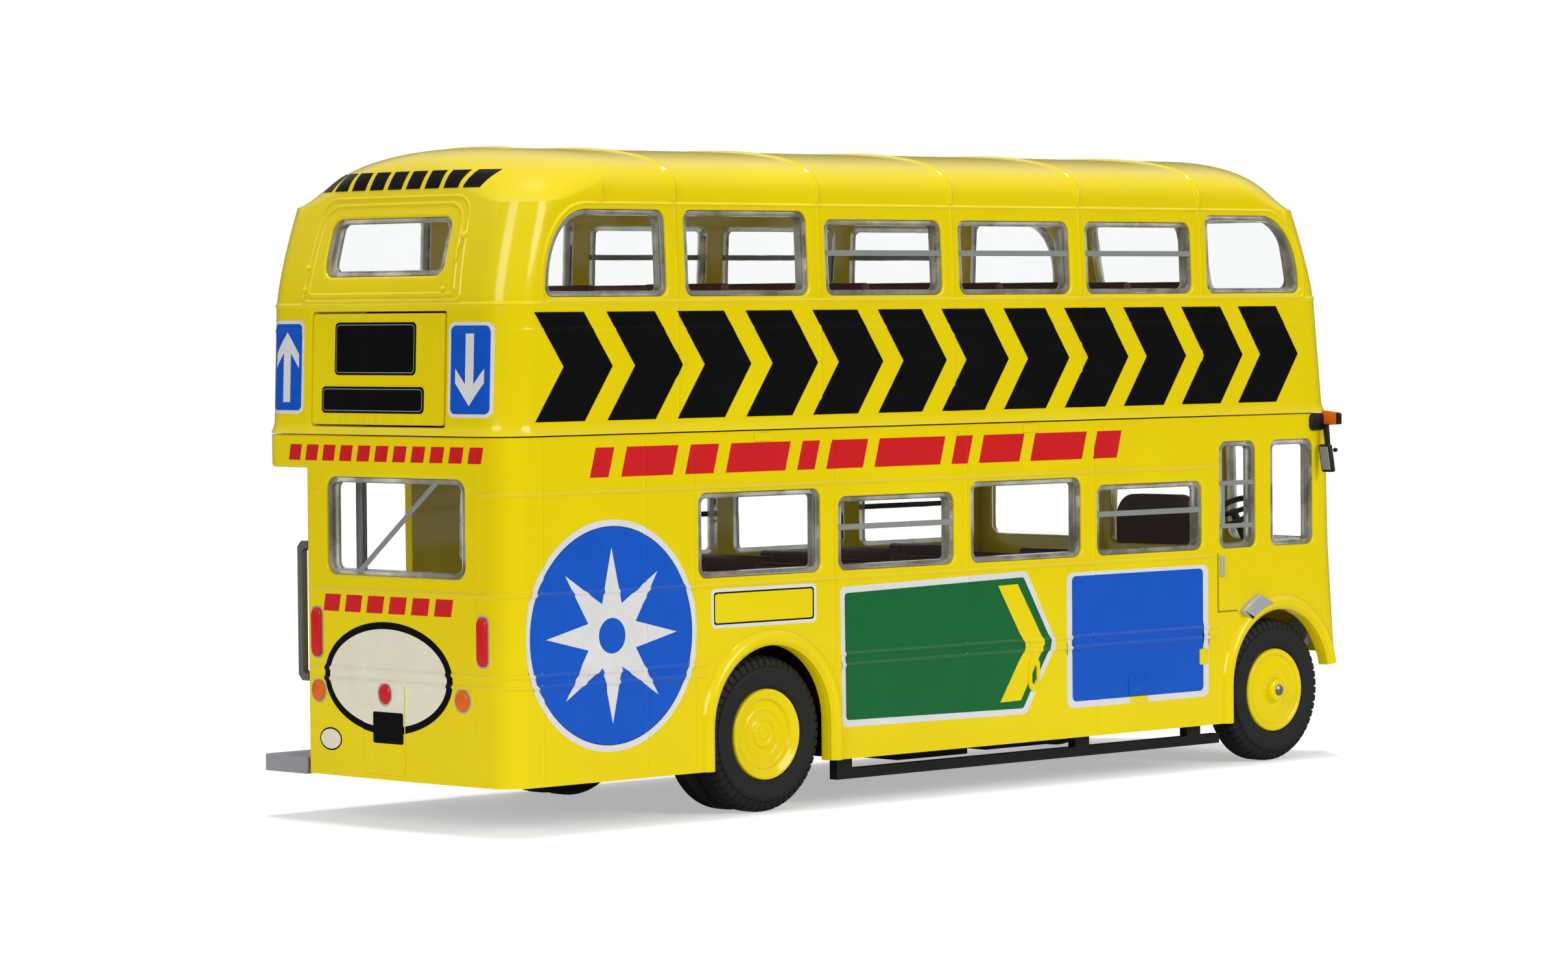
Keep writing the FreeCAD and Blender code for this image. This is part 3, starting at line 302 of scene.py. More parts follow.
BASE = moulded("black_base_plastic", (0.01, 0.01, 0.011))
RUBBER = moulded("charcoal_tyre", display(34, 35, 38), 0.66, 2400.0, 0.00003)
CLEAR = clear("clear_window_plastic")
MILKY = frosted("milky_window_edge", display(226, 226, 220), display(164, 162, 148))


# Meshes

def in_scene(name, data):
    """A new object in the scene."""
    made = bpy.data.objects.new(name, data)
    bpy.context.scene.collection.objects.link(made)
    return made


def piece(name, points, faces, finish, body="bus", slot="yellow_paint", replaces=(),
          weld=0.002, crease=35.0):
    """A named closed shell from points in millimetres and faces: near points are merged,
    slits are drawn together and filled, faces turn outwards and creases stay sharp."""
    mesh = bpy.data.meshes.new(name)
    mesh.from_pydata(metres(points).tolist(), [], [list(face) for face in faces])
    mesh.materials.append(finish)
    shell = bmesh.new()
    shell.from_mesh(mesh)
    bmesh.ops.remove_doubles(shell, verts=shell.verts, dist=weld * 0.001)
    bmesh.ops.dissolve_degenerate(shell, edges=shell.edges, dist=weld * 0.0005)
    for reach in (0.0, 0.02, 0.06, 0.12):
        slits = [edge for edge in shell.edges if edge.is_boundary]
        if slits and reach:
            ends = [corner for corner in shell.verts if corner.is_boundary]
            bmesh.ops.remove_doubles(shell, verts=ends, dist=reach * 0.001)
            slits = [edge for edge in shell.edges if edge.is_boundary]
        if slits:
            bmesh.ops.holes_fill(shell, edges=slits, sides=60)
    bmesh.ops.recalc_face_normals(shell, faces=shell.faces)
    if shell.calc_volume(signed=True) < 0:
        bmesh.ops.reverse_faces(shell, faces=shell.faces)
    shell.to_mesh(mesh)
    shell.free()
    mesh.polygons.foreach_set("use_smooth", [True] * len(mesh.polygons))
    mesh.set_sharp_from_angle(angle=np.radians(crease))
    made = in_scene(name, mesh)
    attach(made, body)
    if replaces:
        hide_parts(*replaces)


def grid(rows, columns, ring=False, loop=False, flip=False):
    """Faces of a grid of points; ring closes the columns and loop closes the rows."""
    down = np.arange(rows if loop else rows - 1)
    along = np.arange(columns if ring else columns - 1)
    a, b = np.meshgrid(down, along, indexing="ij")
    a2, b2 = (a + 1) % rows, (b + 1) % columns
    corners = [a * columns + b, a * columns + b2, a2 * columns + b2, a2 * columns + b]
    return np.stack(corners[::-1] if flip else corners, -1).reshape(-1, 4)


def joined(*parts):
    """Points and faces of several shapes as one."""
    points, faces, start = [], [], 0
    for these, those in parts:
        these = np.asarray(these, float).reshape(-1, 3)
        points.append(these)
        those = those.tolist() if isinstance(those, np.ndarray) else those
        faces += [[corner + start for corner in face] for face in those]
        start += len(these)
    return np.concatenate(points), faces


def caps(rows, columns):
    """Faces that close the first and the last ring of a grid."""
    first, last = list(range(columns)), columns * (rows - 1)
    return [first, [corner + last for corner in first[::-1]]]


def assembled(name, shapes, finish, **options):
    """One piece made of several shapes."""
    piece(name, *joined(*shapes), finish, **options)


def inside(points, ring):
    """True where a point lies inside a closed ring, by the even and odd rule."""
    x, y = points[:, 0, None], points[:, 1, None]
    x0, y0 = ring[:, 0], ring[:, 1]
    x1, y1 = np.roll(x0, -1), np.roll(y0, -1)
    crosses = (y0 > y) != (y1 > y)
    with np.errstate(divide="ignore", invalid="ignore"):
        at = x0 + (y - y0) * (x1 - x0) / (y1 - y0)
    return (crosses & (x < at)).sum(1) % 2 == 1


def outward(ring, distance, closed=True):
    """An anticlockwise ring, or part of one, moved out from its middle by a distance."""
    if closed:
        along = np.roll(ring, -1, 0) - np.roll(ring, 1, 0)
    else:
        along = np.gradient(ring, axis=0)
    along = along / np.maximum(np.hypot(*along.T), 1e-9)[:, None]
    return ring + np.stack([along[:, 1], -along[:, 0]], 1) * distance


def spread(ring, step, closed=True):
    """A ring or line with further points so that none are further apart than step."""
    following = np.roll(ring, -1, 0) if closed else ring[1:]
    parts = []
    for start, end in zip(ring, following):
        count = max(1, int(np.ceil(np.hypot(*(end - start)) / step)))
        parts.append(start + (end - start) * np.linspace(0, 1, count, endpoint=False)[:, None])
    return np.concatenate(parts if closed else parts + [ring[-1:]])


def panel(x0, x1, z0, z1, corners, turns=8):
    """Anticlockwise ring of a panel; corners from lower left have a radius or two half axes."""
    corners = corners if isinstance(corners, tuple) else (corners,) * 4
    places = ((x0, z0, 1, 1, 180), (x1, z0, -1, 1, 270), (x1, z1, -1, -1, 0),
              (x0, z1, 1, -1, 90))
    parts = []
    for (x, z, right, up, start), corner in zip(places, corners):
        a, b = corner if isinstance(corner, tuple) else (corner, corner)
        count = turns if max(a, b) < 2.5 else 3 * turns
        parts.append(arc(x + right * a, z + up * b, a, b, start, start + 90, count + 1))
    return np.concatenate(parts)


def shifted(points, x, z):
    """Flat points moved along both measures."""
    return np.asarray(points, float) + [x, z]


def arc(x, z, a, b, start, end, count):
    """Points of an ellipse's arc about a place, between two turns in degrees."""
    turn = np.radians(np.linspace(start, end, count))
    return np.stack([x + a * np.cos(turn), z + b * np.sin(turn)], 1)


def disc(x, z, a, b=None, count=96):
    """Ring of a circle, or of an ellipse with two half axes."""
    turn = np.linspace(0, 2 * np.pi, count, endpoint=False)
    return np.stack([x + a * np.cos(turn), z + (b or a) * np.sin(turn)], 1)


def rounded_corners(points, radius, turns=6):
    """A ring through points with each corner turned in an arc."""
    points = np.asarray(points, float)
    parts = []
    for behind, corner, ahead in zip(np.roll(points, 1, 0), points, np.roll(points, -1, 0)):
        back = (behind - corner) / np.hypot(*(behind - corner))
        on = (ahead - corner) / np.hypot(*(ahead - corner))
        half = np.arccos(np.clip(back @ on, -1, 1)) / 2
        reach = radius / np.tan(half)
        share = np.linspace(0, 1, turns + 1)[:, None]
        start, end = corner + back * reach, corner + on * reach
        parts.append((1 - share) ** 2 * start + 2 * share * (1 - share) * corner
                     + share ** 2 * end)
    return np.concatenate(parts)


def filled(outline, holes=(), lines=(), points=()):
    """Triangles between an outline and its holes, with given lines and points kept."""
    places, edges = [], []
    for ring in (outline, *holes):
        start = len(places)
        places += ring.tolist()
        edges += [(start + i, start + (i + 1) % len(ring)) for i in range(len(ring))]
    for line in lines:
        start = len(places)
        places += np.asarray(line).tolist()
        edges += [(start + i, start + i + 1) for i in range(len(line) - 1)]
    places += np.asarray(points).reshape(-1, 2).tolist()
    made = delaunay_2d_cdt([Vector(p) for p in places], edges, [], 0, 1e-5, False)
    corners = np.array([tuple(p) for p in made[0]])
    faces = np.array(made[2])
    first, second, third = (corners[faces[:, i]] for i in range(3))
    (a, b), (c, d) = (second - first).T, (third - first).T
    middle = (first + second + third) / 3
    keep = inside(middle, outline) & (np.abs(a * d - b * c) > 4e-5)
    for ring in holes:
        keep &= ~inside(middle, ring)
    return corners, faces[keep]


def stations(stops, counts):
    """Places between stops, each gap divided into its own count."""
    parts = [np.linspace(a, b, n, endpoint=False) for a, b, n in zip(stops, stops[1:], counts)]
    return np.concatenate(parts + [[stops[-1]]])


# The hull, worked out as functions of the way round and the height

SEAM_WAY, BEYOND = 135.0, 136.0  # the front seam, and a way past it that closes openings
REAR_TURN, FRONT_TURN = 12.6, 13.5  # ways that half of each bow takes up
REAR_REACH, FRONT_REACH = 13.85, 13.4  # half widths of the lower casting's bows
REAR_BOW, FRONT_BOW = 260.0, 110.0  # radii of the bows, seen from above
WAY_STOPS = np.array([0.0, REAR_TURN, 17.9, 117.0, SEAM_WAY - FRONT_TURN, SEAM_WAY])


def plan(t, rear, front, half, rear_corner, front_corner, grow):
    """Outline from above: t 0 to 1 is half the rear bow, to 2 the rear corner, to 3 the
    side, to 4 the front corner, to 5 half the front bow; bows and corners are arcs."""
    rear, front, half = rear - grow, front + grow, half + grow
    found = []
    for way, end, corner, bow, s in ((-1, rear, rear_corner, REAR_BOW, t),
                                     (1, front, front_corner, FRONT_BOW, 5.0 - t)):
        corner = np.clip(corner + grow, 0.0, 0.97 * half)
        bow = bow + grow
        run = np.sqrt((bow - corner) ** 2 - (half - corner) ** 2)
        touch = np.arctan2(half - corner, run)
        turn = touch * np.clip(s, 0, 1) + (np.pi / 2 - touch) * np.clip(s - 1, 0, 1)
        on_bow = s <= 1
        x = end - way * bow + way * np.where(on_bow, bow * np.cos(turn),
                                             run + corner * np.cos(turn))
        y = np.where(on_bow, bow * np.sin(turn), half - corner + corner * np.sin(turn))
        found.append((x, y))
    (rear_x, rear_y), (front_x, front_y) = found
    share = np.clip(t - 2, 0, 1)
    x = np.where(t <= 2, rear_x, np.where(t >= 3, front_x, rear_x + (front_x - rear_x) * share))
    y = np.where(t <= 2, rear_y, np.where(t >= 3, front_y, half))
    return x, y


def upper(way, height, grow=0.0):
    """Upper casting: walls lean in ever more above the waist, and past the cant rail the half
    width falls as a cosine and the height rises as a power of the sine, to the roof's ridge,
    while the lean runs on and fades."""
    way, height, grow = np.broadcast_arrays(*map(np.asarray, (way, height, grow)))
    t = np.interp(np.abs(way), WAY_STOPS, np.arange(6.0))
    z = np.minimum(height, CANT)
    low = np.clip((z - LOWER_TOP) / (WAIST - LOWER_TOP), 0, 1)
    high = np.clip((z - WAIST) / (CANT - WAIST), 0, 1)
    turn = np.pi / 2 * np.clip((height - CANT) / DOME, 0, 1) ** 2
    lost = 1 - np.cos(turn)
    over = np.sin(turn) ** ROOF_POWER
    lean = high ** 1.35 + 0.775 * over * (1 - over / 2)
    half = (HALF - 0.387 * lean) * (1 - lost)
    rear = -30.85 + 0.4 * low + 2.15 * lean + 7.9 * lost
    front = 76.45 - 1.25 * low - 2.0 * lean - 4.8 * lost
    rear_corner, front_corner = 3.4, 2.8 + 1.7 * high
    rear_corner = rear_corner + (half * 0.96 - rear_corner) * over ** 0.7
    front_corner = front_corner + (half * 0.96 - front_corner) * over ** 0.7
    flare = 0.28 * np.clip(1 - (z - SPLIT) / 0.9, 0, 1) ** 1.4
    x, y = plan(t, rear, front, half, rear_corner, front_corner,
                np.where(turn > 1.5, grow * 0.0, grow) + flare)
    z = z + (ROOF_RISE + grow) * over
    return np.stack([x, np.where(lost > 0.9999, 0.0, y) * np.sign(way + 1e-12), z], -1)


def lower(way, height, grow=0.0):
    """Lower casting: upright sides and back, and a front that leans back in two slopes."""
    way, height, grow = np.broadcast_arrays(*map(np.asarray, (way, height, grow)))
    t = np.interp(np.abs(way), WAY_STOPS, np.arange(6.0))
    front = 78.05 - 0.083 * (np.minimum(height, BELT) - 10) - 0.028 * np.maximum(height - BELT, 0)
    x, y = plan(t, -30.65, front, HALF, 2.4, 2.8, grow)
    return np.stack([x, y * np.sign(way + 1e-12), height.astype(float)], -1)


def way_of(surface, wall, across, height, hand=0):
    """Way round of places on a wall; across is x on the sides and y on the ends, where past
    the bow the corner is an arc and its turn comes from an arc sine."""
    across, height = np.broadcast_arrays(np.asarray(across, float), np.asarray(height, float))
    if wall in ("nearside", "offside"):
        start = surface(np.full_like(height, WAY_STOPS[2]), height)[..., 0]
        end = surface(np.full_like(height, WAY_STOPS[3]), height)[..., 0]
        way = WAY_STOPS[2] + (across - start) / (end - start) * (WAY_STOPS[3] - WAY_STOPS[2])
        return way if wall == "nearside" else -way
    stop, far = WAY_STOPS[[4, 3]] if wall == "front" else WAY_STOPS[[1, 2]]
    near = surface(np.full_like(height, stop), height)
    end = surface(np.full_like(height, far), height)
    reach, most = np.abs(near[..., 1]), np.abs(end[..., 1])
    length = np.maximum(np.abs(end[..., 0] - near[..., 0]), 1e-6)
    touch = np.pi / 2 - 2 * np.arctan((most - reach) / length)
    radius = length / np.maximum(np.cos(touch), 1e-6)
    high = np.clip(1 - (most - np.abs(across)) / radius, -1, 1)
    round_corner = np.clip((np.arcsin(high) - touch) / (np.pi / 2 - touch), 0, 1)
    share, hand = np.abs(across) / reach, hand or np.where(across < 0, -1, 1)
    straight = SEAM_WAY - share * FRONT_TURN if wall == "front" else share * REAR_TURN
    return hand * np.where(share > 1, stop + (far - stop) * round_corner, straight)


def on_wall(surface, wall, ring, hand=0):
    """A ring on a wall in way round and height, kept anticlockwise as the skin needs it."""
    made = np.stack([way_of(surface, wall, ring[:, 0], ring[:, 1], hand), ring[:, 1]], 1)
    return made[::-1] if wall in ("offside", "front") else made


EASED = 0.22  # radius of an opening's outer edge


def reveal(surface, ring, closed):
    """Rounded edge and flat side of an opening: a quarter circle, then straight in."""
    turns = np.radians([0, 18, 36, 54, 72, 90])
    offsets = np.concatenate([EASED * (1 - np.sin(turns)), [0.0]])
    depths = np.concatenate([-EASED * (1 - np.cos(turns)), [-WALL]])
    rows = [surface(*outward(ring, offset, closed).T, deep)
            for offset, deep in zip(offsets, depths)]
    return np.stack(rows), grid(len(rows), len(ring), ring=closed)


def skin(surface, heights, ways, openings, levels):
    """Outer and inner faces of a casting, with rounded edges round its openings and lines
    kept at some levels; an opening is a ring, or a path with the places beyond the casting's
    edge."""
    def moved(path, beyond, distance):
        return np.concatenate([outward(path, distance, not len(beyond)), beyond])

    def level_line(height):
        return np.stack([ways, np.full_like(ways, height)], 1)

    def upright_line(way):
        return np.stack([np.full(len(heights) - 2, way), heights[1:-1]], 1)

    u, v = np.meshgrid(ways[1:-1], heights[1:-1])
    points = np.stack([u.ravel(), v.ravel()], 1)
    outline = np.concatenate([level_line(heights[0]), upright_line(ways[-1]),
                              level_line(heights[-1])[::-1], upright_line(ways[0])[::-1]])
    lines = [level_line(level) for level in levels]
    shapes, keep = [], np.ones(len(points), bool)
    for path, beyond in openings:
        keep &= ~inside(points, moved(path, beyond, 0.75))
        near = outward(path, 0.42, not len(beyond))
        lines.append(near if len(beyond) else np.concatenate([near, near[:1]]))
    for grow, offset in ((0.0, EASED), (-WALL, 0.0)):
        rings = [moved(path, beyond, offset) for path, beyond in openings]
        corners, faces = filled(outline, rings, lines, points[keep])
        shapes.append((surface(*corners.T, grow), faces[:, ::-1] if grow == 0 else faces))
    shapes += [reveal(surface, path, not len(beyond)) for path, beyond in openings]
    return shapes


def mirrored(path):
    """A path in way round and height on the other side of the bus, run the other way."""
    return path[::-1] * [-1, 1]


def edge(surface, ways, height, down):
    """Flat edge of a casting at one height, as a strip between its outer and inner face."""
    rows = [surface(ways, np.full_like(ways, height), grow) for grow in (0.0, -WALL)]
    return np.stack(rows), grid(2, len(ways), flip=down)


def around(counts):
    """Ways all round the bus, from the front seam to the front seam."""
    half = stations(list(WAY_STOPS), counts)
    return np.concatenate([-half[:0:-1], half])


# Upper casting

UPPER_POSTS = [-10.8 + BAY * number for number in range(5)]
UPPER_SILL, UPPER_HEAD, MIDDLE_HEAD = 44.7, 52.0, 51.3
FLARE_TOP = 34.12
NONE = np.zeros((0, 2))


def upper_windows():
    """Rings of the upper deck's windows, in way round and height."""
    drawn = []
    for wall, side in SIGNED[::-1]:
        drawn.append((wall, panel(-25.6, -11.9, UPPER_SILL, UPPER_HEAD,
                                  (0.75, 0.9, 0.9, (4.9, 6.55)))))
        for number, (a, b) in enumerate(zip(UPPER_POSTS, UPPER_POSTS[1:])):
            head = MIDDLE_HEAD if number else UPPER_HEAD
            drawn.append((wall, panel(a + POST, b - POST, UPPER_SILL, head, 0.9)))
        drawn.append((wall, panel(57.38, 70.56, UPPER_SILL, UPPER_HEAD,
                                  (0.9, 0.75, (4.95, 6.2), 0.9))))
        y0, y1 = sorted((side * 0.9, side * 12.6))
        drawn.append(("front", panel(y0, y1, UPPER_SILL, UPPER_HEAD, 1.3)))
    rings = [on_wall(upper, wall, spread(ring, 0.8)) for wall, ring in drawn]
    return rings + [on_wall(upper, "rear", spread(panel(-7.8, 7.8, 46.55, 51.47, 1.1), 0.6))]


def upper_openings():
    """The upper deck's windows and destination panels; the front one is cut in two halves
    that end at the seam of the way round."""
    half, foot, head = 8.78, 33.9, 43.6
    rings = upper_windows()
    rings.append(on_wall(upper, "rear", spread(panel(-half, half, foot, head, 0.3), 0.8)))
    openings = [(ring, NONE) for ring in rings]
    path = spread(np.array([(0, foot), (half, foot), (half, head), (0, head)]), 0.8, False)
    beyond = np.array([(BEYOND, foot), (BEYOND, head)])
    for hand in (1, -1):
        openings.append((on_wall(upper, "front", path, hand), beyond))
        path, beyond = mirrored(path), mirrored(beyond)
    return openings


def upper_casting():
    """Roof and walls of the upper deck, open below."""
    ways = around([8, 20, 66, 18, 9])
    heights = np.concatenate([
        stations([SPLIT, FLARE_TOP, WAIST, CANT], [5, 6, 6]),
        CANT + DOME * stations([0, 0.25, 0.8, 1.0], [8, 14, 6])[1:]])
    shapes = skin(upper, heights, ways, upper_openings(), (FLARE_TOP, WAIST, CANT))
    assembled("upper_casting", shapes + [edge(upper, ways, SPLIT, False)], YELLOW,
              replaces=["upper_body"], weld=0.004)


# Lower casting

LOWER_POSTS = [-9.6 + BAY * number for number in range(5)]
LOWER_SILL, CAB_HEAD = 20.65, 30.7
FRONT_FOOT = 60.55  # rear foot of the front wheel opening
PLATFORM_WAY = REAR_TURN * 9.7 / REAR_REACH  # way round of the platform's edge on the rear wall


def side_way(x, z):
    """Way round of one place on the lower casting's nearside."""
    return float(way_of(lower, "nearside", x, z))


def arch_path(x, start):
    """Head of a wheel opening: an arc from a turn on its front to its rear."""
    return arc(x, ARCH_LEVEL, ARCH_RADIUS, ARCH_RADIUS, start, 180, 34)


def lower_windows():
    """Rings of the lower deck's windows, in way round and height."""
    drawn = []
    for wall in ("nearside", "offside"):
        for number, (a, b) in enumerate(zip(LOWER_POSTS, LOWER_POSTS[1:])):
            head = 27.1 if number % 2 else 27.9
            drawn.append((wall, panel(a + POST, b - POST, LOWER_SILL, head, 0.9), 0.9))
    for x0, x1 in ((58.9, 64.1), (66.3, 72.5)):
        drawn.append(("offside", panel(x0, x1, LOWER_SILL, CAB_HEAD, 0.9), 0.9))
    drawn.append(("front", panel(-13.6, -2.2, LOWER_SILL, CAB_HEAD, 0.9), 0.8))
    drawn.append(("rear", panel(-10.9, 6.9, 21.3, 29.6, 1.1), 0.8))
    return [on_wall(lower, wall, spread(ring, step)) for wall, ring, step in drawn]


def front_way(y):
    """Way round of a place on the lower front's bow, as its share of the bow's half width."""
    return SEAM_WAY - FRONT_TURN * y / FRONT_REACH


def rear_arch(foot):
    """Outline of the rear wheel opening, open at its foot."""
    return np.concatenate([[(ARCH_RADIUS, foot)], arch_path(REAR_AXLE, 0),
                           [(-ARCH_RADIUS, foot)]])


def front_arch(foot, start):
    """Outline of the front wheel opening, from a turn on its front to its rear foot."""
    return np.concatenate([arch_path(FRONT_AXLE, start), [(FRONT_FOOT, foot)]])


def lower_openings():
    """Windows, wheel openings, platform and half cab, in way round and height."""
    below, nose_level, corner = 2.0, 10.0, 2.2
    openings = [(ring, NONE) for ring in lower_windows()]
    for wall, side in SIGNED[::-1]:
        foot = np.array([(-ARCH_RADIUS, below), (ARCH_RADIUS, below)])
        openings.append((on_wall(lower, wall, spread(rear_arch(SKIRT), 0.8, False)),
                         on_wall(lower, wall, foot)))
        way = on_wall(lower, "nearside", spread(front_arch(SKIRT, 20.2), 0.8, False))
        nose = spread(np.array([(SEAM_WAY, nose_level), (way[0, 0], nose_level)]), 0.8, False)
        path = np.concatenate([nose[:-1], way])
        beyond = np.array([(way[-1, 0], below), (BEYOND, below), (BEYOND, nose_level)])
        if side < 0:
            path, beyond = mirrored(path), mirrored(beyond)
        openings.append((path, beyond))
        lamp = disc(side * LAMP_Y, LAMP_Z, 1.43, count=40)
        openings.append((on_wall(lower, "front", lamp), NONE))
    door, pillar = side_way(-14.0, 10.0), PLATFORM_WAY
    back, wing, inner = side_way(59.45, BONNET), front_way(11.45), -front_way(0.6)
    for way, beyond in (
            (np.concatenate([[(door, SKIRT)],
                             arc(door - corner, CANOPY - corner, corner, corner, 0, 90, 9),
                             [(pillar, CANOPY), (pillar, SKIRT)]]),
             [(pillar, below), (door, below)]),
            (np.array([(SEAM_WAY, CANOPY), (back, CANOPY), (back, 15.7), (wing, 15.7),
                       (wing, BONNET), (SEAM_WAY, BONNET)]),
             [(BEYOND, BONNET), (BEYOND, CANOPY)]),
            (np.array([(-SEAM_WAY, BONNET), (inner, BONNET), (inner, CANOPY),
                       (-SEAM_WAY, CANOPY)]),
             [(-BEYOND, CANOPY), (-BEYOND, BONNET)])):
        openings.append((spread(way, 0.8, False), np.array(beyond)))
    return openings


def lower_casting():
    """Skirt, walls, nose and half cab of the lower deck, open above and below."""
    ways = around([8, 12, 66, 12, 9])
    heights = stations([SKIRT, 10.0, BELT, LOWER_TOP], [6, 8, 12])
    shapes = skin(lower, heights, ways, lower_openings(), (BELT,))
    rear, behind, front, door = (side_way(x, SKIRT) for x in
                                 (ARCH_RADIUS, -ARCH_RADIUS, FRONT_FOOT, -14.0))
    for start, end in ((rear, front), (-front, -rear), (door, behind),
                       (-behind, PLATFORM_WAY)):
        some = np.concatenate([[start], ways[(ways > start) & (ways < end)], [end]])
        shapes.append(edge(lower, some, SKIRT, False))
    shapes.append(edge(lower, ways, LOWER_TOP, True))
    assembled("lower_casting", shapes, YELLOW, replaces=["lower_body"], weld=0.004)


def slab_shape(ring, axes, at, thick, holes=(), soft=0.15):
    """A plate with rounded rims: rings step in by a quarter circle at both faces."""
    turns = np.radians([0, 30, 60, 90])
    step_in, step_down = soft * (1 - np.sin(turns)), soft * (1 - np.cos(turns))
    insets = np.concatenate([step_in, step_in[::-1]])
    depths = np.concatenate([step_down, thick - step_down[::-1]])
    order = {"yz": (2, 0, 1), "xz": (0, 2, 1), "xy": (0, 1, 2)}[axes]

    def placed(flat, depth):
        stack = np.stack([flat[:, 0], flat[:, 1], np.full(len(flat), at + depth)], 1)
        return stack[:, order]

    shapes = []
    for rim, way in [(ring, -1)] + [(hole, 1) for hole in holes]:
        rows = [placed(outward(rim, way * inset), depth) for inset, depth in zip(insets, depths)]
        shapes.append((np.stack(rows), grid(len(rows), len(rim), ring=True)))
    for depth in (0.0, thick):
        corners, faces = filled(outward(ring, -soft), [outward(h, soft) for h in holes])
        shapes.append((placed(corners, depth), faces if depth else faces[:, ::-1]))
    return joined(*shapes)


def slab(name, ring, axes, at, thick, finish, holes=(), soft=0.15, **options):
    """A piece made of one plate."""
    piece(name, *slab_shape(ring, axes, at, thick, holes, soft), finish, **options)


def handed(ring, side):
    """A ring in y and z, drawn for the nearside, kept anticlockwise on either side."""
    ring = np.asarray(ring, float) * [side, 1]
    return ring if side > 0 else ring[::-1]


def half_cab():
    """Bulkhead, cab side wall, bonnet, nearside wing and the underside over the bonnet."""
    cab_rear, cab_inner, top, gap = 59.4, -1.65, 31.3, 0.04
    window = panel(1.2, 13.4, 21.4, 28.6, 0.9)
    back_view = panel(-14.0, -2.4, 20.9, 30.2, 0.9)
    slab("saloon_bulkhead", panel(cab_inner, 15.0, 9.6, top, 0.2), "yz", BULKHEAD, WALL, YELLOW,
         [window])
    slab("cab_back_wall", panel(-15.0, -1.6, 15.3, top, 0.2), "yz", BULKHEAD, WALL, YELLOW,
         [back_view])
    for hand, view in (("nearside", window), ("offside", back_view)):
        slab("bulkhead_pane_" + hand, outward(view, -gap), "yz", BULKHEAD + 0.15, 0.7, CLEAR,
             slot="clear_plastic")
    wall = np.array([(cab_rear, 19.2), (77.0, 19.2), (76.7, top), (cab_rear, top)])
    side_view = panel(60.6, 75.6, 20.8, 30.1, 0.9)
    slab("cab_side_wall", spread(wall, 2.0), "xz", cab_inner, WALL, YELLOW, [side_view])
    slab("cab_side_pane", outward(side_view, -gap), "xz", cab_inner + 0.2, 0.6, CLEAR,
         slot="clear_plastic")
    roof = np.array([(cab_rear, -0.8), (76.3, -0.8), (76.3, 14.0), (75.0, 15.0),
                     (cab_rear, 15.0)])
    slab("canopy_underside", spread(roof, 2.0), "xy", CANOPY, 1.0, YELLOW)
    profile = np.concatenate([
        [(-1.0, 19.1), (-1.0, BONNET), (4.0, BONNET)], arc(9.45, 18.0, 2.0, 2.0, 90, 0, 9),
        [(11.45, 16.4), (11.8, 15.8), (12.6, 15.7), (15.3, 15.65), (15.3, 14.7), (12.2, 14.7),
         (10.6, 15.3), (10.5, 17.6), (9.0, 19.1)]])
    along = np.array([BULKHEAD + 0.2, 60.0, 64.0, 68.0, 72.0, 75.0, 76.9])
    points = np.stack([np.column_stack([np.full(len(profile), x), profile]) for x in along])
    faces = grid(len(along), len(profile), ring=True, flip=True).tolist()
    piece("bonnet_and_wing", points.reshape(-1, 3), faces + caps(len(along), len(profile)),
          YELLOW)


def benches(name, node, first, rows, floor, top, sole=0):
    """Rows of moulded benches: a side profile of cushion and back, carried across with soft
    ends; the first rows of the deck with stairs have a bench on the nearside alone."""
    pitch, width, nearside, offside = 8.6, 10.2, 3.5, -13.7
    high = top - floor
    side = rounded_corners([(-1.1, 0), (4.4, 0), (4.4, 5.4), (0.1, 5.2), (-0.15, high),
                            (-1.1, high)], 0.42)
    shapes = []
    for row in range(rows):
        ring = shifted(side, first + pitch * row, floor)
        for start in (nearside,) if row < sole else (nearside, offside):
            shapes.append(slab_shape(ring, "xz", start, width, soft=0.35))
    assembled(name, shapes, MAROON, slot="maroon_plastic", replaces=[node])


# Raised seams and the ink that follows them

SEAMS = {
    "upper": {"side": ([-10.8, 6.2, 22.9, 39.7, 56.4], [42.0]), "end": ([], [42.0])},
    "lower": {"side": ([-26.4, -14.8, -9.2, 7.5, 24.4, 41.2, 58.4], [12.35, 13.3, 20.0, 28.35]),
              "end": ([-12.3], [12.35, 13.3, 20.0, 28.35])},
}
UPRIGHT, LEVEL, FAINT = (0.36, 0.085), (0.52, 0.17), (0.5, 0.05)  # widths and heights


def seams_of(surface, wall):
    """Places of the upright and the level seams on a wall."""
    return SEAMS[surface.__name__]["side" if wall.endswith("side") else "end"]


def ridge(offset, width, height):
    """Height of a rounded seam: a squared cosine that is level at both edges."""
    share = np.clip(np.abs(offset) / (width / 2), 0, 1)
    return height * np.cos(np.pi / 2 * share) ** 2


def relief(surface, wall, across, height):
    """How far the seams stand above a wall at given places."""
    uprights, levels = seams_of(surface, wall)
    most = np.zeros(np.broadcast(across, height).shape)
    for place in uprights:
        most = np.maximum(most, ridge(across - place, *UPRIGHT))
    for place in levels:
        most = np.maximum(most, ridge(height - place, *(LEVEL if surface is lower else FAINT)))
    return most


def height_of(z):
    """Height value that gives a level above the cant rail."""
    over = np.clip((np.asarray(z, float) - CANT) / ROOF_RISE, 0, 1)
    turn = np.arcsin(over ** (1 / ROOF_POWER))
    return np.where(z > CANT, CANT + DOME * np.sqrt(turn / (np.pi / 2)), z)


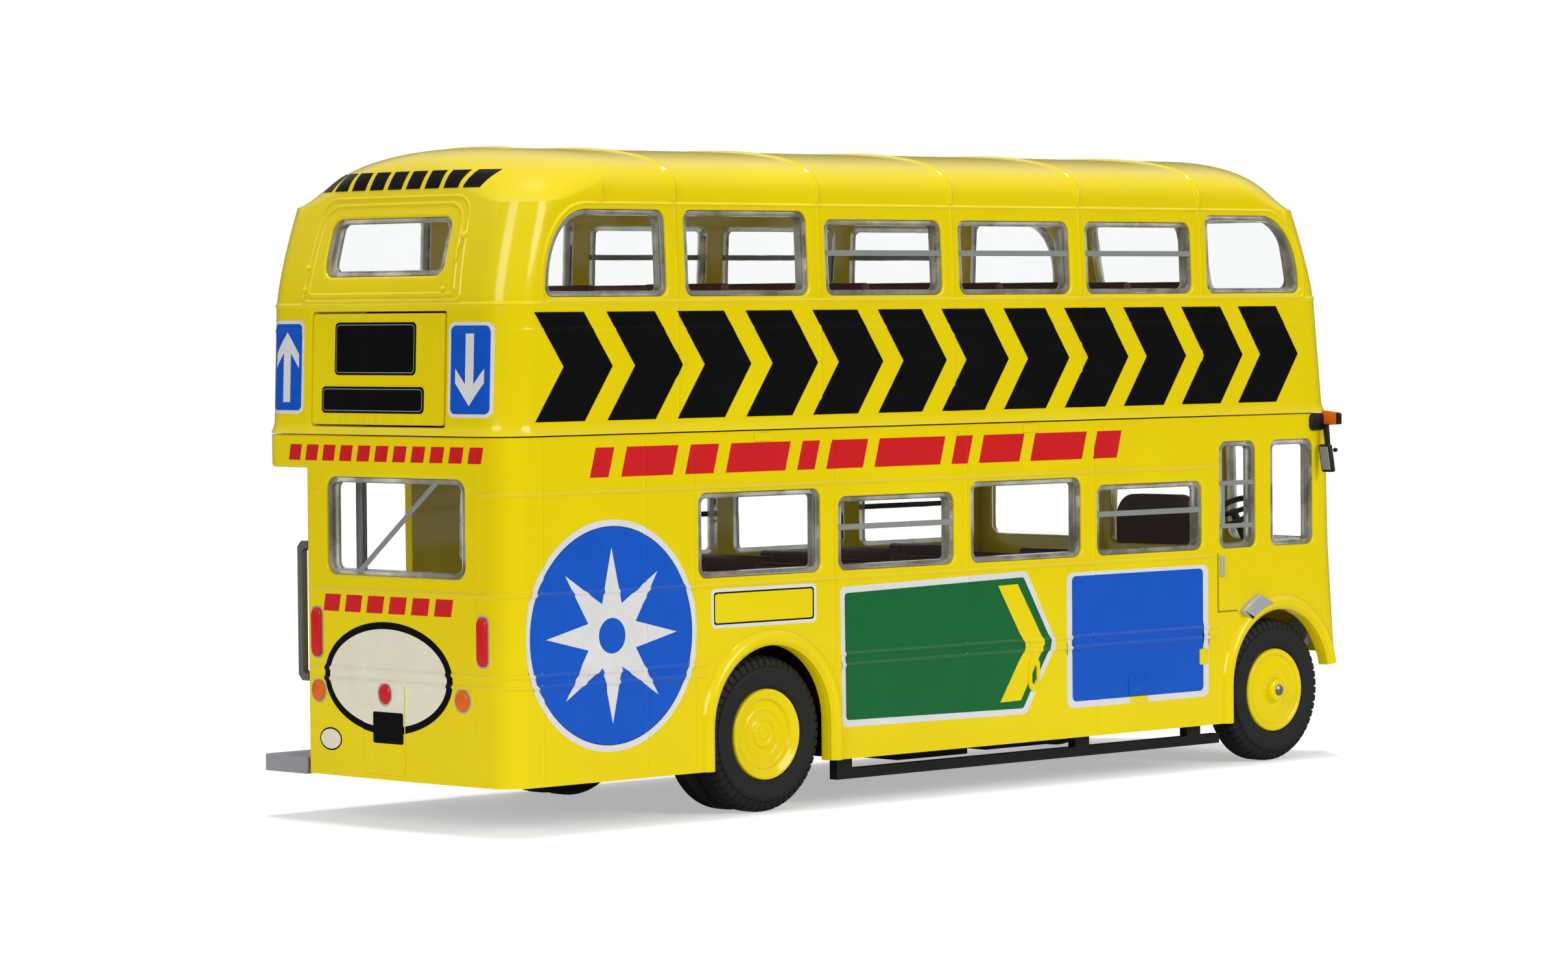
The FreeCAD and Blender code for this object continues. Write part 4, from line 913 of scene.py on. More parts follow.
def across_lines(ring, wall):
    """Lines that keep a shape on a bowed end wall or its corners."""
    if wall.endswith("side"):
        return []
    low, high = ring.min(0) - 0.5, ring.max(0) + 0.5
    places = [y for y in stations([-16, -12, 12, 16], [12, 20, 12]) if low[0] < y < high[0]]
    return [[(y, low[1]), (y, high[1])] for y in places]


def laid_on(surface, wall, ring, lift, plain=False):
    """Places on a wall as points that stand lift above it or above its seams."""
    level = height_of(ring[:, 1]) if surface is upper else ring[:, 1]
    rise = 0.0 if plain else relief(surface, wall, ring[:, 0], ring[:, 1])
    return surface(way_of(surface, wall, ring[:, 0], level), level, rise + lift)


ACROSS_SEAM = (-0.64, -0.5, -0.25, 0.0, 0.25, 0.5, 0.64)  # lines that follow a seam


def ink(name, finish, surface, wall, shapes, lift=0.02, slot="yellow_paint", plain=False,
        thick=0.05):
    """Printed shapes on a wall, each an outline with holes, lifted over the seams unless
    plain, with rims that go down into the paint."""
    flip = wall in CLOCKWISE
    uprights, levels = seams_of(surface, wall)
    parts = []
    for outline, *holes in shapes:
        low, high = outline.min(0) - 0.5, outline.max(0) + 0.5
        lines = across_lines(outline, wall)
        if surface is upper and high[1] > CANT:
            lines += [[(low[0], z), (high[0], z)] for z in np.arange(CANT, high[1], 0.4)]
        for share in () if plain else ACROSS_SEAM:
            lines += [[(low[0], z + share * 0.5), (high[0], z + share * 0.5)]
                      for z in levels if low[1] < z < high[1]]
            lines += [[(x + share * 0.34, low[1]), (x + share * 0.34, high[1])]
                      for x in uprights if low[0] < x < high[0]]
        rings = [spread(ring, 0.8) for ring in (outline, *holes)]
        corners, faces = filled(rings[0], rings[1:], lines)
        for level, turned_over in ((lift, flip), (lift - thick, not flip)):
            parts.append((laid_on(surface, wall, corners, level, plain),
                          faces[:, ::-1] if turned_over else faces))
        for ring in rings:
            rows = [laid_on(surface, wall, ring, level, plain)
                    for level in (lift - thick, lift)]
            parts.append((np.stack(rows), grid(2, len(ring), ring=True, flip=flip)))
    assembled(name, parts, finish, slot=slot)


def plate(name, finish, surface, wall, ring, rise, soft, deep=-0.3, **options):
    """A plate on a wall: a level top with rims turned down in a quarter circle."""
    flip = wall in CLOCKWISE
    turns = np.radians([0, 30, 60, 90])
    insets = np.concatenate([[0.0], soft * (1 - np.cos(turns))])
    lifts = np.concatenate([[deep], rise - soft + soft * np.sin(turns)])
    rows = [laid_on(surface, wall, outward(ring, -inset), lift, True)
            for inset, lift in zip(insets, lifts)]
    corners, faces = filled(outward(ring, -soft), (), across_lines(ring, wall))
    shapes = [(np.stack(rows), grid(len(rows), len(ring), ring=True, flip=flip)),
              (rows[0], [list(range(len(ring)))]),
              (laid_on(surface, wall, corners, rise, True), faces[:, ::-1] if flip else faces)]
    assembled(name, shapes, finish, **options)


def flap(name, finish, surface, wall, place, corner, rise, soft, step=0.8, **options):
    """A plate whose ring is a panel between two places along and two levels."""
    plate(name, finish, surface, wall, spread(panel(*place, corner), step), rise, soft,
          **options)


def button(name, finish, ring, rise, surface=lower, power=2.5, slot="amber_plastic"):
    """A domed lens on a rear wall: its ring shrinks to its middle as its height rises."""
    shares = np.cos(np.linspace(0, np.pi / 2, 9))[:, None, None]
    middle = ring.mean(0)
    rings = middle + (ring - middle) * shares
    heights = rise * np.clip(1 - shares[:, 0, 0] ** power, 0, 1) ** (1 / power)
    rows = [laid_on(surface, "rear", ring, -0.2, True)]
    rows += [laid_on(surface, "rear", flat, lift, True) for flat, lift in zip(rings, heights)]
    faces = grid(len(rows), len(ring), ring=True, flip=True).tolist()
    piece(name, np.stack(rows).reshape(-1, 3), faces + [list(range(len(ring)))], finish,
          slot=slot)


def followed(surface, ways, heights):
    """Points on a casting and the directions straight out of it there."""
    step = 0.05
    points = surface(ways, heights)
    along = surface(ways + step, heights) - surface(ways - step, heights)
    up = surface(ways, heights + step) - surface(ways, heights - step)
    out = np.cross(up, along)
    out /= np.maximum(np.linalg.norm(out, axis=1), 1e-12)[:, None]
    return points, out


def seam(points, out, width, height, closed=False, taper=0.5, swell=1.0):
    """A rounded seam carried along a path: across it the height is a squared cosine, and
    open ends sink over a short taper. Its underside is flat, just below the wall."""
    ahead = np.roll(points, -1, 0) - np.roll(points, 1, 0) if closed \
        else np.gradient(points, axis=0)
    ahead = ahead / np.maximum(np.linalg.norm(ahead, axis=1), 1e-12)[:, None]
    aside = np.cross(out, ahead)
    columns = 9
    share = np.linspace(-1, 1, columns)
    ends = np.ones(len(points))
    if not closed:
        run = np.concatenate([[0], np.cumsum(np.linalg.norm(np.diff(points, axis=0), axis=1))])
        ends = np.clip(np.minimum(run, run[-1] - run) / taper, 0, 1) ** 0.5 * swell
    rise = ridge(share, 2.0, height)[None, :] * ends[:, None] - 0.006
    rows = (points[:, None] + aside[:, None] * (share * width / 2)[None, :, None]
            + out[:, None] * rise[..., None])
    faces = grid(len(points), columns, ring=True, loop=closed, flip=True).tolist()
    return rows, faces if closed else faces + caps(len(points), columns)


def wall_seam(surface, wall, line, width, height, closed=False):
    """A seam along a line of places on a wall."""
    line = spread(np.asarray(line, float), 0.7, closed)
    level = height_of(line[:, 1]) if surface is upper else line[:, 1]
    points, out = followed(surface, way_of(surface, wall, line[:, 0], level), level)
    return seam(points, out, width, height, closed)


def round_seam(surface, height, start, end, width, tall):
    """A level seam from one way round to another."""
    ways = np.arange(start, end, 0.6)
    points, out = followed(surface, ways, np.full_like(ways, height))
    return seam(points, out, width, tall)


def rib(x):
    """A roof rib: from the cant rail on one side, over the roof, to the other."""
    foot = height_of(CANT + 0.15)
    heights = (foot + (CANT + DOME - foot) * np.linspace(0, 1, 40) ** 0.9)[:-1]
    halves = []
    for hand in (1, -1):
        ways = hand * way_of(upper, "nearside", x, np.minimum(heights, CANT + DOME * 0.96))
        halves.append(followed(upper, ways, heights))
    points = np.concatenate([halves[0][0], halves[1][0][::-1]])
    points[:, 0] = x
    out = np.concatenate([halves[0][1], halves[1][1][::-1]])
    swell = 1 + 1.1 * np.clip((56.6 - points[:, 2]) / 2.5, 0, 1)
    return seam(points, out, 0.85, 0.14, taper=0.7, swell=swell)


def casting_seams():
    """Every raised line of the two castings."""
    far = 134.6
    parts = [round_seam(upper, 44.15, -far, far, 0.5, 0.12),
             round_seam(upper, 42.0, -far, -14.0, *FAINT),
             round_seam(upper, 42.0, 14.0, far, *FAINT)]
    for wall in SIDES:
        ring = panel(-26.1, 71.1, 44.3, 52.5, (0.5, 0.5, (5.3, 6.9), (5.2, 7.1)))
        parts.append(wall_seam(upper, wall, ring, 0.42, 0.17, closed=True))
        for x in SEAMS["upper"]["side"][0]:
            parts.append(wall_seam(upper, wall, [(x, 34.2), (x, 44.0)], *UPRIGHT))
            parts.append(wall_seam(upper, wall, [(x, 44.4), (x, 52.4)], 0.34, 0.12))
    for inset in (0.0, 0.75):
        side = 10.3 - inset
        ring = panel(-side, side, 44.5 + 0.7 * inset, 53.2 - 0.8 * inset,
                     (0.5, 0.5, (1.9, 1.6), (1.9, 1.6)))
        lean = np.clip((ring[:, 1] - 44.5) / 8.0, 0, 1)
        ring[:, 0] *= 1 - 0.07 * lean
        parts.append(wall_seam(upper, "rear", ring, 0.42, 0.1, closed=True))
    parts += [rib(x) for x in (-19.1, *SEAMS["upper"]["side"][0])]
    assembled("upper_casting_seams", parts, YELLOW)

    foot, head = 4.4, 32.9
    parts = []
    for wall in SIDES:
        for x in SEAMS["lower"]["side"][0]:
            if x != BULKHEAD and (wall == "offside" or x > -14):
                parts.append(wall_seam(lower, wall, [(x, foot), (x, head)], *UPRIGHT))
    parts.append(wall_seam(lower, "rear", [(-12.3, foot), (-12.3, head)], *UPRIGHT))
    cab, platform = side_way(BULKHEAD, BONNET), REAR_TURN * 9.5 / REAR_REACH
    arch, end = ARCH_RADIUS + 0.65, BULKHEAD + 0.2
    low_seam, high_seam, sill_seam, head_seam = SEAMS["lower"]["side"][1]
    stretches = []
    for z in (low_seam, high_seam):
        stretches += [(z, -side_way(end, z), -side_way(arch, z)),
                      (z, -side_way(-arch, z), platform),
                      (z, side_way(-13.8, z), side_way(-arch, z)),
                      (z, side_way(arch, z), side_way(end, z))]
    window = [float(way_of(lower, "rear", y, head_seam)) for y in (-11.7, 7.7)]
    for z, stops in ((sill_seam, (-cab, platform)), (head_seam, (-cab, *window, platform))):
        stretches += [(z, *stretch) for stretch in zip(stops[::2], stops[1::2])]
        stretches.append((z, side_way(-13.6, z), side_way(59.2, z)))
    parts += [round_seam(lower, *stretch, *LEVEL) for stretch in stretches]
    assembled("lower_casting_seams", parts, YELLOW)


# Printed decoration: generic shapes, with nothing written

def chevron(x, z0, z1, thick, reach):
    """A bold arrowhead band that points forward."""
    middle = (z0 + z1) / 2
    return np.array([(x, z0), (x + thick, z0), (x + thick + reach, middle), (x + thick, z1),
                     (x, z1), (x + reach, middle)], float)


def dash(x0, x1, z0, z1, slant):
    """A bar whose top leans along the wall."""
    return np.array([(x0, z0), (x1, z0), (x1 + slant, z1), (x0 + slant, z1)], float)


def star(x, z, outer, inner, points):
    """A star's ring: its radius goes from outer to inner at each half point."""
    turn = np.pi / 2 + np.arange(2 * points) * np.pi / points
    radius = np.where(np.arange(2 * points) % 2 == 0, outer, inner)
    return np.stack([x + radius * np.cos(turn), z + radius * np.sin(turn)], 1)


def side_decoration(wall):
    """Adverts of one side as plain shapes: bold chevrons, dashes, a disc and two boards."""
    bands = [[chevron(-27.0 + 8.05 * number, 34.35, 43.45, 5.5, 3.2)] for number in range(12)]
    ink("%s_chevrons" % wall, BLACK, upper, wall, bands)
    lengths = [3.2, 7.0, 4.4, 8.2, 3.2, 5.6, 9.4, 3.2, 6.4, 8.0, 4.4]
    start, bars = -21.0, []
    for length in lengths:
        bars.append([dash(start, start + length - 1.1, 29.6, 32.1, 0.7)])
        start += length + 0.35
    ink("%s_red_dashes" % wall, RED, lower, wall, bars)
    if wall == "nearside":
        return
    middle = (-18.65, 16.3)
    petals, boss = star(*middle, 7.4, 2.9, 8), disc(*middle, 1.5, count=40)
    tag = panel(-6.9, 5.1, 16.6, 19.4, 0.3)
    board = rounded_corners([(8.5, 6.9), (32.0, 6.65), (36.11, 12.88), (32.13, 19.65),
                             (8.3, 19.2)], 0.6)
    inner = rounded_corners([(8.95, 7.5), (31.6, 7.2), (35.5, 12.95), (31.75, 19.1),
                             (8.85, 18.65)], 0.4)
    arrow = np.array([(28.57, 7.9), (31.3, 7.95), (34.56, 12.96), (30.97, 18.5),
                      (28.41, 18.45), (31.98, 12.82)])
    blue = panel(38.2, 56.35, 7.4, 18.9, 0.5)
    for name, finish, *rings in (
            ("side_disc_rim", WHITE, disc(*middle, 9.75), disc(*middle, 9.15)),
            ("side_disc", BLUE, disc(*middle, 9.2), petals),
            ("side_disc_star", WHITE, petals, boss),
            ("side_disc_boss", BLUE, boss),
            ("side_tag_rim", WHITE, panel(-7.2, 5.4, 16.3, 19.7, 0.5), tag),
            ("side_tag_line", BLACK, tag, panel(-6.76, 4.96, 16.74, 19.26, 0.25)),
            ("green_board_rim", WHITE, board, inner),
            ("green_board", GREEN, inner, arrow),
            ("green_board_arrow", YELLOW, arrow),
            ("blue_board_rim", WHITE, panel(37.5, 57.1, 6.8, 19.25, 0.8), blue),
            ("blue_board", BLUE, blue)):
        ink(name, finish, lower, wall, [rings])


def arrow_panel(name, y0, y1, z0, z1, up):
    """Blue sign with a white edge and a plain upright arrow."""
    arrow = np.array([(-0.5, -3.0), (0.5, -3.0), (0.5, 1.2), (1.7, -0.1), (1.7, 1.1),
                      (0, 3.0), (-1.7, 1.1), (-1.7, -0.1), (-0.5, 1.2)])
    arrow = arrow if up else (arrow * [1, -1])[::-1]
    arrow = shifted(arrow, (y0 + y1) / 2, (z0 + z1) / 2)
    field = panel(y0 + 0.3, y1 - 0.3, z0 + 0.3, z1 - 0.3, 0.5)
    ink(name + "_rim", WHITE, upper, "rear", [[panel(y0, y1, z0, z1, 0.7), field]])
    ink(name + "_field", BLUE, upper, "rear", [[field, arrow]])
    ink(name + "_arrow", WHITE, upper, "rear", [[arrow]])


OVAL_Y, OVAL_Z = -1.03, 12.7
OVAL_RIM, OVAL_FIELD = (8.29, 4.75), (7.6, 4.15)


def rear_decoration():
    """Signs, dashes and ovals on the rear."""
    arrow_panel("offside_sign", -14.3, -9.2, 34.75, 42.7, False)
    arrow_panel("nearside_sign", 9.8, 14.6, 34.9, 42.9, True)
    for name, finish, surface, starts, width, z0, z1, lift in (
            ("rear_red_dashes", RED, lower, (-13.0, 11.0, 2.35), 1.6, 30.95, 32.3, 0.02),
            ("rear_small_dashes", RED, lower, (-9.2, 6.0, 2.9), 2.1, 18.15, 19.6, 0.02),
            ("rear_roof_dashes", BLACK, upper, (-9.9, 9.6, 2.4), 1.75, 53.9, 55.4, 0.05)):
        bars = [[dash(y, y + width, z0, z1, -0.3)] for y in np.arange(*starts)]
        ink(name, finish, surface, "rear", bars, lift)
    for name, rim, field in (
            ("rear_oval", disc(OVAL_Y, OVAL_Z, *OVAL_RIM), disc(OVAL_Y, OVAL_Z, *OVAL_FIELD)),
            ("small_oval", disc(6.57, 7.2, 1.5, 0.98, 48), disc(6.57, 7.2, 1.36, 0.85, 48))):
        ink(name + "_rim", BLACK, lower, "rear", [[rim, field]])
        ink(name, CREAM, lower, "rear", [[field]])


# Wheels

TYRE_FACE, TYRE_BORE = 15.4, 3.93  # place of the outer sidewalls, radius of the hubs' rims
NOTCHES, NOTCH_DEPTH = 52, 0.13


def turned(profile, axle, side, columns, loop=False, groove=None):
    """A profile of radius and depth in from the tyre's outer face, carried round an axle."""
    turn = np.linspace(0, 2 * np.pi, columns, endpoint=False)
    radius, depth = profile[:, 0, None] + 0 * turn, profile[:, 1, None] + 0 * turn
    if groove:
        radius, depth = groove(radius, depth, turn)
    points = np.stack([axle + radius * np.cos(turn), side * (TYRE_FACE - depth),
                       HUB_LEVEL + radius * np.sin(turn)], -1)
    return points.reshape(-1, 3), grid(len(profile), columns, ring=True, loop=loop,
                                       flip=side < 0)


def notched(radius, depth, turn):
    """Shoulder blocks: the outer shoulder sinks in narrow notches, where a cosine of the
    turn is high."""
    cut = np.clip(np.cos(NOTCHES * turn) * 3.0 - 1.6, 0, 1)
    zone = np.clip((radius - 5.85) / 0.12, 0, 1) * np.clip((1.25 - depth) / 0.1, 0, 1)
    return radius - NOTCH_DEPTH * cut * zone, depth + NOTCH_DEPTH * cut * zone


def tyre(node, axle, side, width, inset, body):
    """Tyre: flat sidewall, sloped shoulders with notches, and a tread with three grooves."""
    corners = [(TYRE_BORE, 0.4), (4.2, 0.06), (5.5, 0.0), (5.78, 0.05), (5.88, 0.2),
               (6.5, 0.42), (6.72, 0.75), (6.78, 1.12)]
    grooves = []
    for middle in stations([1.3, width - 0.75], [3]):
        grooves += [(6.79, middle - 0.1), (6.62, middle - 0.06), (6.62, middle + 0.06),
                    (6.79, middle + 0.1)]
    back = [(6.74, width - 0.45), (6.45, width - 0.18), (5.5, width - 0.04),
            (4.2, width - 0.06), (TYRE_BORE, width - 0.3)]
    profile = rounded_corners(corners + grooves + back, 0.05, 3) + [0.0, inset]
    groove = None if inset else notched
    columns = 312 if groove else 120
    piece(node + "_moulding", *turned(profile, axle, side, columns, True, groove), RUBBER, body,
          "black_tyre", [node])


def hub(node, axle, side, rings, deep, body):
    """Hub: rings of radius and depth from the rim to the middle, closed at the back."""
    rings = np.array(rings + [(0.0, rings[-1][1])], float)
    share = np.arange(len(rings))
    fine = np.linspace(0, len(rings) - 1, 6 * len(rings))
    smooth = np.stack([np.interp(fine, share, rings[:, i]) for i in (0, 1)], 1)
    kernel = np.array([1, 3, 4, 3, 1]) / 12.0
    for i in (0, 1):
        padded = np.pad(smooth[:, i], 2, mode="edge")
        smooth[:, i] = np.convolve(padded, kernel, "valid")
    smooth[0], smooth[-1] = rings[0], rings[-1]
    back = np.array([(0.0, deep), (TYRE_BORE, deep)])
    profile = np.concatenate([smooth, back])
    piece(node + "_dish", *turned(profile, axle, side, 120, True), YELLOW, body, "yellow_hub",
          [node])


REAR_RINGS = [(3.94, 0.12), (3.86, 0.0), (3.7, 0.0), (3.25, 0.22), (3.08, 0.28), (2.98, 0.5),
              (2.82, 0.66), (2.3, 0.58), (2.12, 0.5), (1.98, 0.66), (1.5, 0.72), (1.22, 0.64),
              (1.1, 0.46), (0.92, 0.44), (0.8, 0.5), (0.56, 0.5), (0.46, 0.36), (0.3, 0.34)]
FRONT_RINGS = [(3.94, 0.16), (3.84, 0.02), (3.6, 0.0), (3.42, 0.1), (3.26, 0.3), (3.05, 0.34),
               (1.72, 0.14), (1.5, 0.2), (1.34, 0.3), (1.2, 0.18), (1.14, -0.1), (1.04, -0.34),
               (0.86, -0.44), (0.6, -0.46)]


def wheels():
    """Tyres and hubs of both axles, and the front axle's pin, whose ends show."""
    for hand, side in SIGNED:
        tyre("front_tyre_" + hand, FRONT_AXLE, side, 3.2, 0.0, "front_wheels")
        tyre("rear_tyre_%s_outer" % hand, REAR_AXLE, side, 2.9, 0.0, "rear_wheels")
        tyre("rear_tyre_%s_inner" % hand, REAR_AXLE, side, 2.9, 3.2, "rear_wheels")
        hub("front_hub_" + hand, FRONT_AXLE, side, FRONT_RINGS, 2.8, "front_wheels")
        hub("rear_hub_" + hand, REAR_AXLE, side, REAR_RINGS, 5.6, "rear_wheels")
    ends = [(0.0, -0.72), (0.3, -0.68), (0.5, -0.56), (0.56, -0.4), (0.6, 0.5), (0.88, 0.9)]
    profile = np.array(ends + [(r, 30.8 - d) for r, d in reversed(ends)])
    piece("front_axle_pin", *turned(profile, FRONT_AXLE, -1, 48), STEEL, "front_wheels",
          "steel", ["front_axle"])


# Rear panel, lamps, rails on the glass and small fittings

REAR_LAMPS = (
    ("tail_lamp_nearside", RED, panel(7.6, 8.95, 14.18, 18.37, 0.5)),
    ("tail_lamp_offside", RED, panel(-13.65, -12.42, 14.16, 18.26, 0.5)),
    ("indicator_rear_nearside", AMBER, disc(8.15, 11.28, 0.9, 0.92, 36)),
    ("indicator_rear_offside", AMBER, disc(-10.54, 11.23, 0.86, 0.9, 36)),
    ("stop_lamp", RED, disc(-0.88, 11.38, 0.8, 0.9, 36)),
)


def rear_fittings():
    """Destination panels with blank blinds, the emergency window's catches, rear lamps, and
    the box behind the number plate with the part of the oval that lies on it."""
    for end in ("rear", "front"):
        flap(end + "_destination_panel", YELLOW, upper, end, (-8.62, 8.62, 34.06, 43.44), 0.35,
             -0.02, 0.1, deep=-0.9, replaces=[end + "_blind_panel"])
    for name, wall, y0, y1, z0, z1 in (("rear_blind_upper", "rear", -5.1, 5.5, 38.25, 42.7),
                                       ("rear_blind_lower", "rear", -6.2, 7.2, 35.03, 37.28),
                                       ("front_blind_upper", "front", -5.3, 5.3, 38.25, 42.7),
                                       ("front_blind_lower", "front", -6.7, 6.7, 35.03, 37.28)):
        flap(name, BLACK, upper, wall, (y0, y1, z0, z1), 0.45, 0.03, 0.03, deep=-0.1)
        ink(name + "_frame", GREY, upper, wall,
            [[panel(y0 + 0.18, y1 - 0.18, z0 + 0.18, z1 - 0.18, 0.35),
              panel(y0 + 0.25, y1 - 0.25, z0 + 0.25, z1 - 0.25, 0.3)]], 0.036, plain=True)
    for name, y, z, size in (("catch", -9.66, 49.9, 0.36), ("hinge_upper", 9.95, 47.36, 0.26),
                             ("hinge_lower", 9.95, 45.5, 0.26), ("stay", -8.2, 45.45, 0.24)):
        button("emergency_window_" + name, YELLOW, disc(y, z, size, count=24), 0.3, upper,
               slot="yellow_paint")
    button("emergency_window_handle", YELLOW,
           spread(panel(-9.42, -8.98, 47.5, 49.35, 0.2), 0.25), 0.22, upper,
           slot="yellow_paint")
    for name, finish, ring in REAR_LAMPS:
        rise, power = (0.4, 3.0) if name.startswith("tail") else (0.35, 2.5)
        button(name, finish, spread(ring, 0.3), rise, power=power)
    flap("number_plate_box", YELLOW, lower, "rear", (-3.35, 2.1, 4.5, 12.5), 0.4, 0.1, 0.1, 0.6)
    y = np.linspace(-3.3, 2.05, 20)
    high, low = (OVAL_Z - tall * np.sqrt(1 - ((y - OVAL_Y) / wide) ** 2)
                 for wide, tall in (OVAL_FIELD, OVAL_RIM))
    field = np.concatenate([np.stack([y, high], 1), [(2.05, 12.45), (-3.3, 12.45)]])
    rim = np.concatenate([np.stack([y, low], 1), np.stack([y, high], 1)[::-1]])
    ink("rear_oval_on_box", CREAM, lower, "rear", [[field]], 0.115, plain=True)
    ink("rear_oval_rim_on_box", BLACK, lower, "rear", [[rim]], 0.115, plain=True)
    ink("number_plate", BLACK, lower, "rear", [[panel(-3.2, 0.7, 7.2, 9.85, 0.2)]], 0.13,
        plain=True)


RIM = [(0.0, -0.3), (0.06, -0.2), (0.16, -0.16), (0.36, -0.17), (0.46, -0.26), (0.48, -1.3),
       (0.1, -1.3), (0.06, -1.1), (0.0, -0.95)]
OUTER_FACE, INNER_FACE = -0.2, -0.7  # how deep a pane's two faces lie


def pane(surface, ring):
    """A clear pane: two level faces inside the milky rim, with lines across where the wall
    bends, so that it bends too."""
    flat = outward(ring, -0.42)
    rows = np.stack([surface(*flat.T, deep) for deep in (OUTER_FACE, INNER_FACE)])
    bent = np.ptp(rows[0][:, 0]) < 3.5 or np.ptp(rows[0][:, 1]) > 0.5
    (left, foot), (right, head) = flat.min(0), flat.max(0)
    lines = [[(way, foot - 1), (way, head + 1)] for way in np.arange(-134.0, 135.0, 1.5)
             if bent and left < way < right]
    corners, faces = filled(flat, (), lines)
    return joined((rows, grid(2, len(ring), ring=True)),
                  (surface(*corners.T, OUTER_FACE), faces[:, ::-1]),
                  (surface(*corners.T, INNER_FACE), faces))


def window_rim(surface, ring):
    """The moulding's milky edge: rows of one inset and one depth each, as a closed loop."""
    rows = np.stack([surface(*outward(ring, -inset).T, deep) for inset, deep in RIM])
    return rows, grid(len(RIM), len(ring), ring=True, loop=True)


def glazing():
    """Panes and milky rims of both decks."""
    for deck, surface, rings in (("upper", upper, upper_windows()),
                                 ("lower", lower, lower_windows())):
        assembled(deck + "_window_panes", [pane(surface, ring) for ring in rings], CLEAR,
                  slot="clear_plastic", replaces=[deck + "_glazing"], crease=12.0)
        assembled(deck + "_window_rims", [window_rim(surface, ring) for ring in rings], MILKY,
                  slot="clear_plastic")


def glass_rails():
    """Grey rails and a slanted stripe printed on the windows, inside their rims."""
    def bar(x0, x1, z0, z1):
        return panel(x0, x1, z0, z1, 0.02, 1)

    rails = []
    for deck, surface, posts, numbers, foot in (
            ("upper", upper, UPPER_POSTS, (1, 2, 3), 48.15),
            ("lower", lower, LOWER_POSTS, (1, 3), 24.18)):
        for number in numbers:
            a, b = posts[number] + POST + 0.05, posts[number + 1] - POST - 0.05
            ring = bar(a, b, foot, foot + 0.5)
            rails += [("%s_window_rail_%s_%d" % (deck, wall, number), surface, wall, ring)
                      for wall in SIDES]
    for number, z in enumerate((26.8, 22.75)):
        rails.append(("cab_door_rail_%d" % number, lower, "offside",
                      bar(59.0, 64.0, z - 0.22, z + 0.22)))
    rails.append(("cab_door_rail_upright", lower, "offside", bar(59.3, 59.72, 22.97, 26.58)))
    rails.append(("rear_window_stripe", lower, "rear",
                  np.array([(-7.8, 29.3), (-7.0, 29.3), (3.0, 21.6), (2.2, 21.6)])))
    for name, surface, wall, ring in rails:
        ink(name, GREY, surface, wall, [[ring]], -0.15, "clear_plastic", True)


def silver_rims():
    """Bright bezels round the rear lamps; the stop lamp's stands on the plate's box."""
    for number, (name, *_, ring) in enumerate(REAR_LAMPS):
        lift = 0.14 if name == "stop_lamp" else 0.05
        ink("rear_lamp_rim_%d" % number, SILVER, lower, "rear",
            [[outward(ring, 0.14), ring]], lift, plain=True)


def arch_lip(name, wall, line):
    """Swollen lip round a wheel opening: the run goes out from the opening's edge, and the
    height over the wall is a power of the sine of that run."""
    line = spread(line, 0.5, False)
    share = np.linspace(0, 1, 12)
    runs = np.concatenate([[0.03, 0.03], 0.03 + 1.42 * share[1:]])
    lifts = np.concatenate([[-1.0, 0.12], 0.03 + 0.52 * np.sin(np.pi * share[1:]) ** 0.7])
    lifts[-1] = -0.05
    rows = np.stack([laid_on(lower, wall, outward(line, run, False), lift, True)
                     for run, lift in zip(runs, lifts)])
    faces = grid(len(rows), len(line), loop=True, flip=wall == "nearside").tolist()
    ends = np.arange(len(rows)) * len(line)
    faces += [ends.tolist(), (ends[::-1] + len(line) - 1).tolist()]
    piece(name, rows.reshape(-1, 3), faces, YELLOW)


def arch_lips():
    """Lips of the four wheel openings, ending just above the skirt's edge."""
    foot = SKIRT + 0.02
    for wall in SIDES:
        arch_lip("rear_arch_lip_" + wall, wall, rear_arch(foot))
        arch_lip("front_arch_lip_" + wall, wall, front_arch(foot, 10.5))


def cab_fittings():
    """Cab door lines, handle and step, fillers and tabs on the side, ears and mirrors."""
    # The door's outline is a strip of painted shade in place of a recessed groove.
    ink("cab_door_line", GROOVE_SHADE, lower, "offside", [[np.array(
        [(58.44, 20.2), (58.44, 14.64), (61.3, 14.64), (61.3, 14.78), (58.58, 14.78),
         (58.58, 20.2)])]], 0.03, plain=True)
    flap("cab_door_handle", SILVER, lower, "offside", (58.8, 59.3, 18.0, 20.0), 0.12, 0.22,
         0.08, 0.5)
    step = np.concatenate([arc(FRONT_AXLE, ARCH_LEVEL, radius, radius, start, end, count)
                           for radius, start, end, count in ((7.75, 127, 101.5, 12),
                                                             (9.2, 112, 130, 9))])
    plate("cab_step_plate", SILVER, lower, "offside", rounded_corners(step, 0.05, 2), 0.62,
          0.06)
    ink("filler_ring", YELLOW, lower, "offside",
        [[panel(32.3, 33.7, 8.69, 11.72, 0.65), panel(32.66, 33.34, 9.3, 11.05, 0.3)]], 0.17,
        plain=True, thick=0.25)
    for name, finish, place in (("upper", BLUE, (45.85, 48.6, 7.45, 9.3)),
                                ("foot", YELLOW, (46.0, 48.45, 6.86, 7.42)),
                                ("side", YELLOW, (55.8, 56.95, 9.85, 11.35))):
        flap("side_flap_" + name, finish, lower, "offside", place, 0.2, 0.14, 0.07, 0.5)
    for number, (x0, x1) in enumerate(((-2.0, 0.2), (31.7, 33.8))):
        for wall in SIDES:
            flap("split_tab_%s_%d" % (wall, number), YELLOW, lower, wall,
                 (x0, x1, 32.2, 32.95), 0.15, 0.16, 0.08, 0.5)
    for wall, side in SIGNED:
        indicator_and_mirror(wall, side)


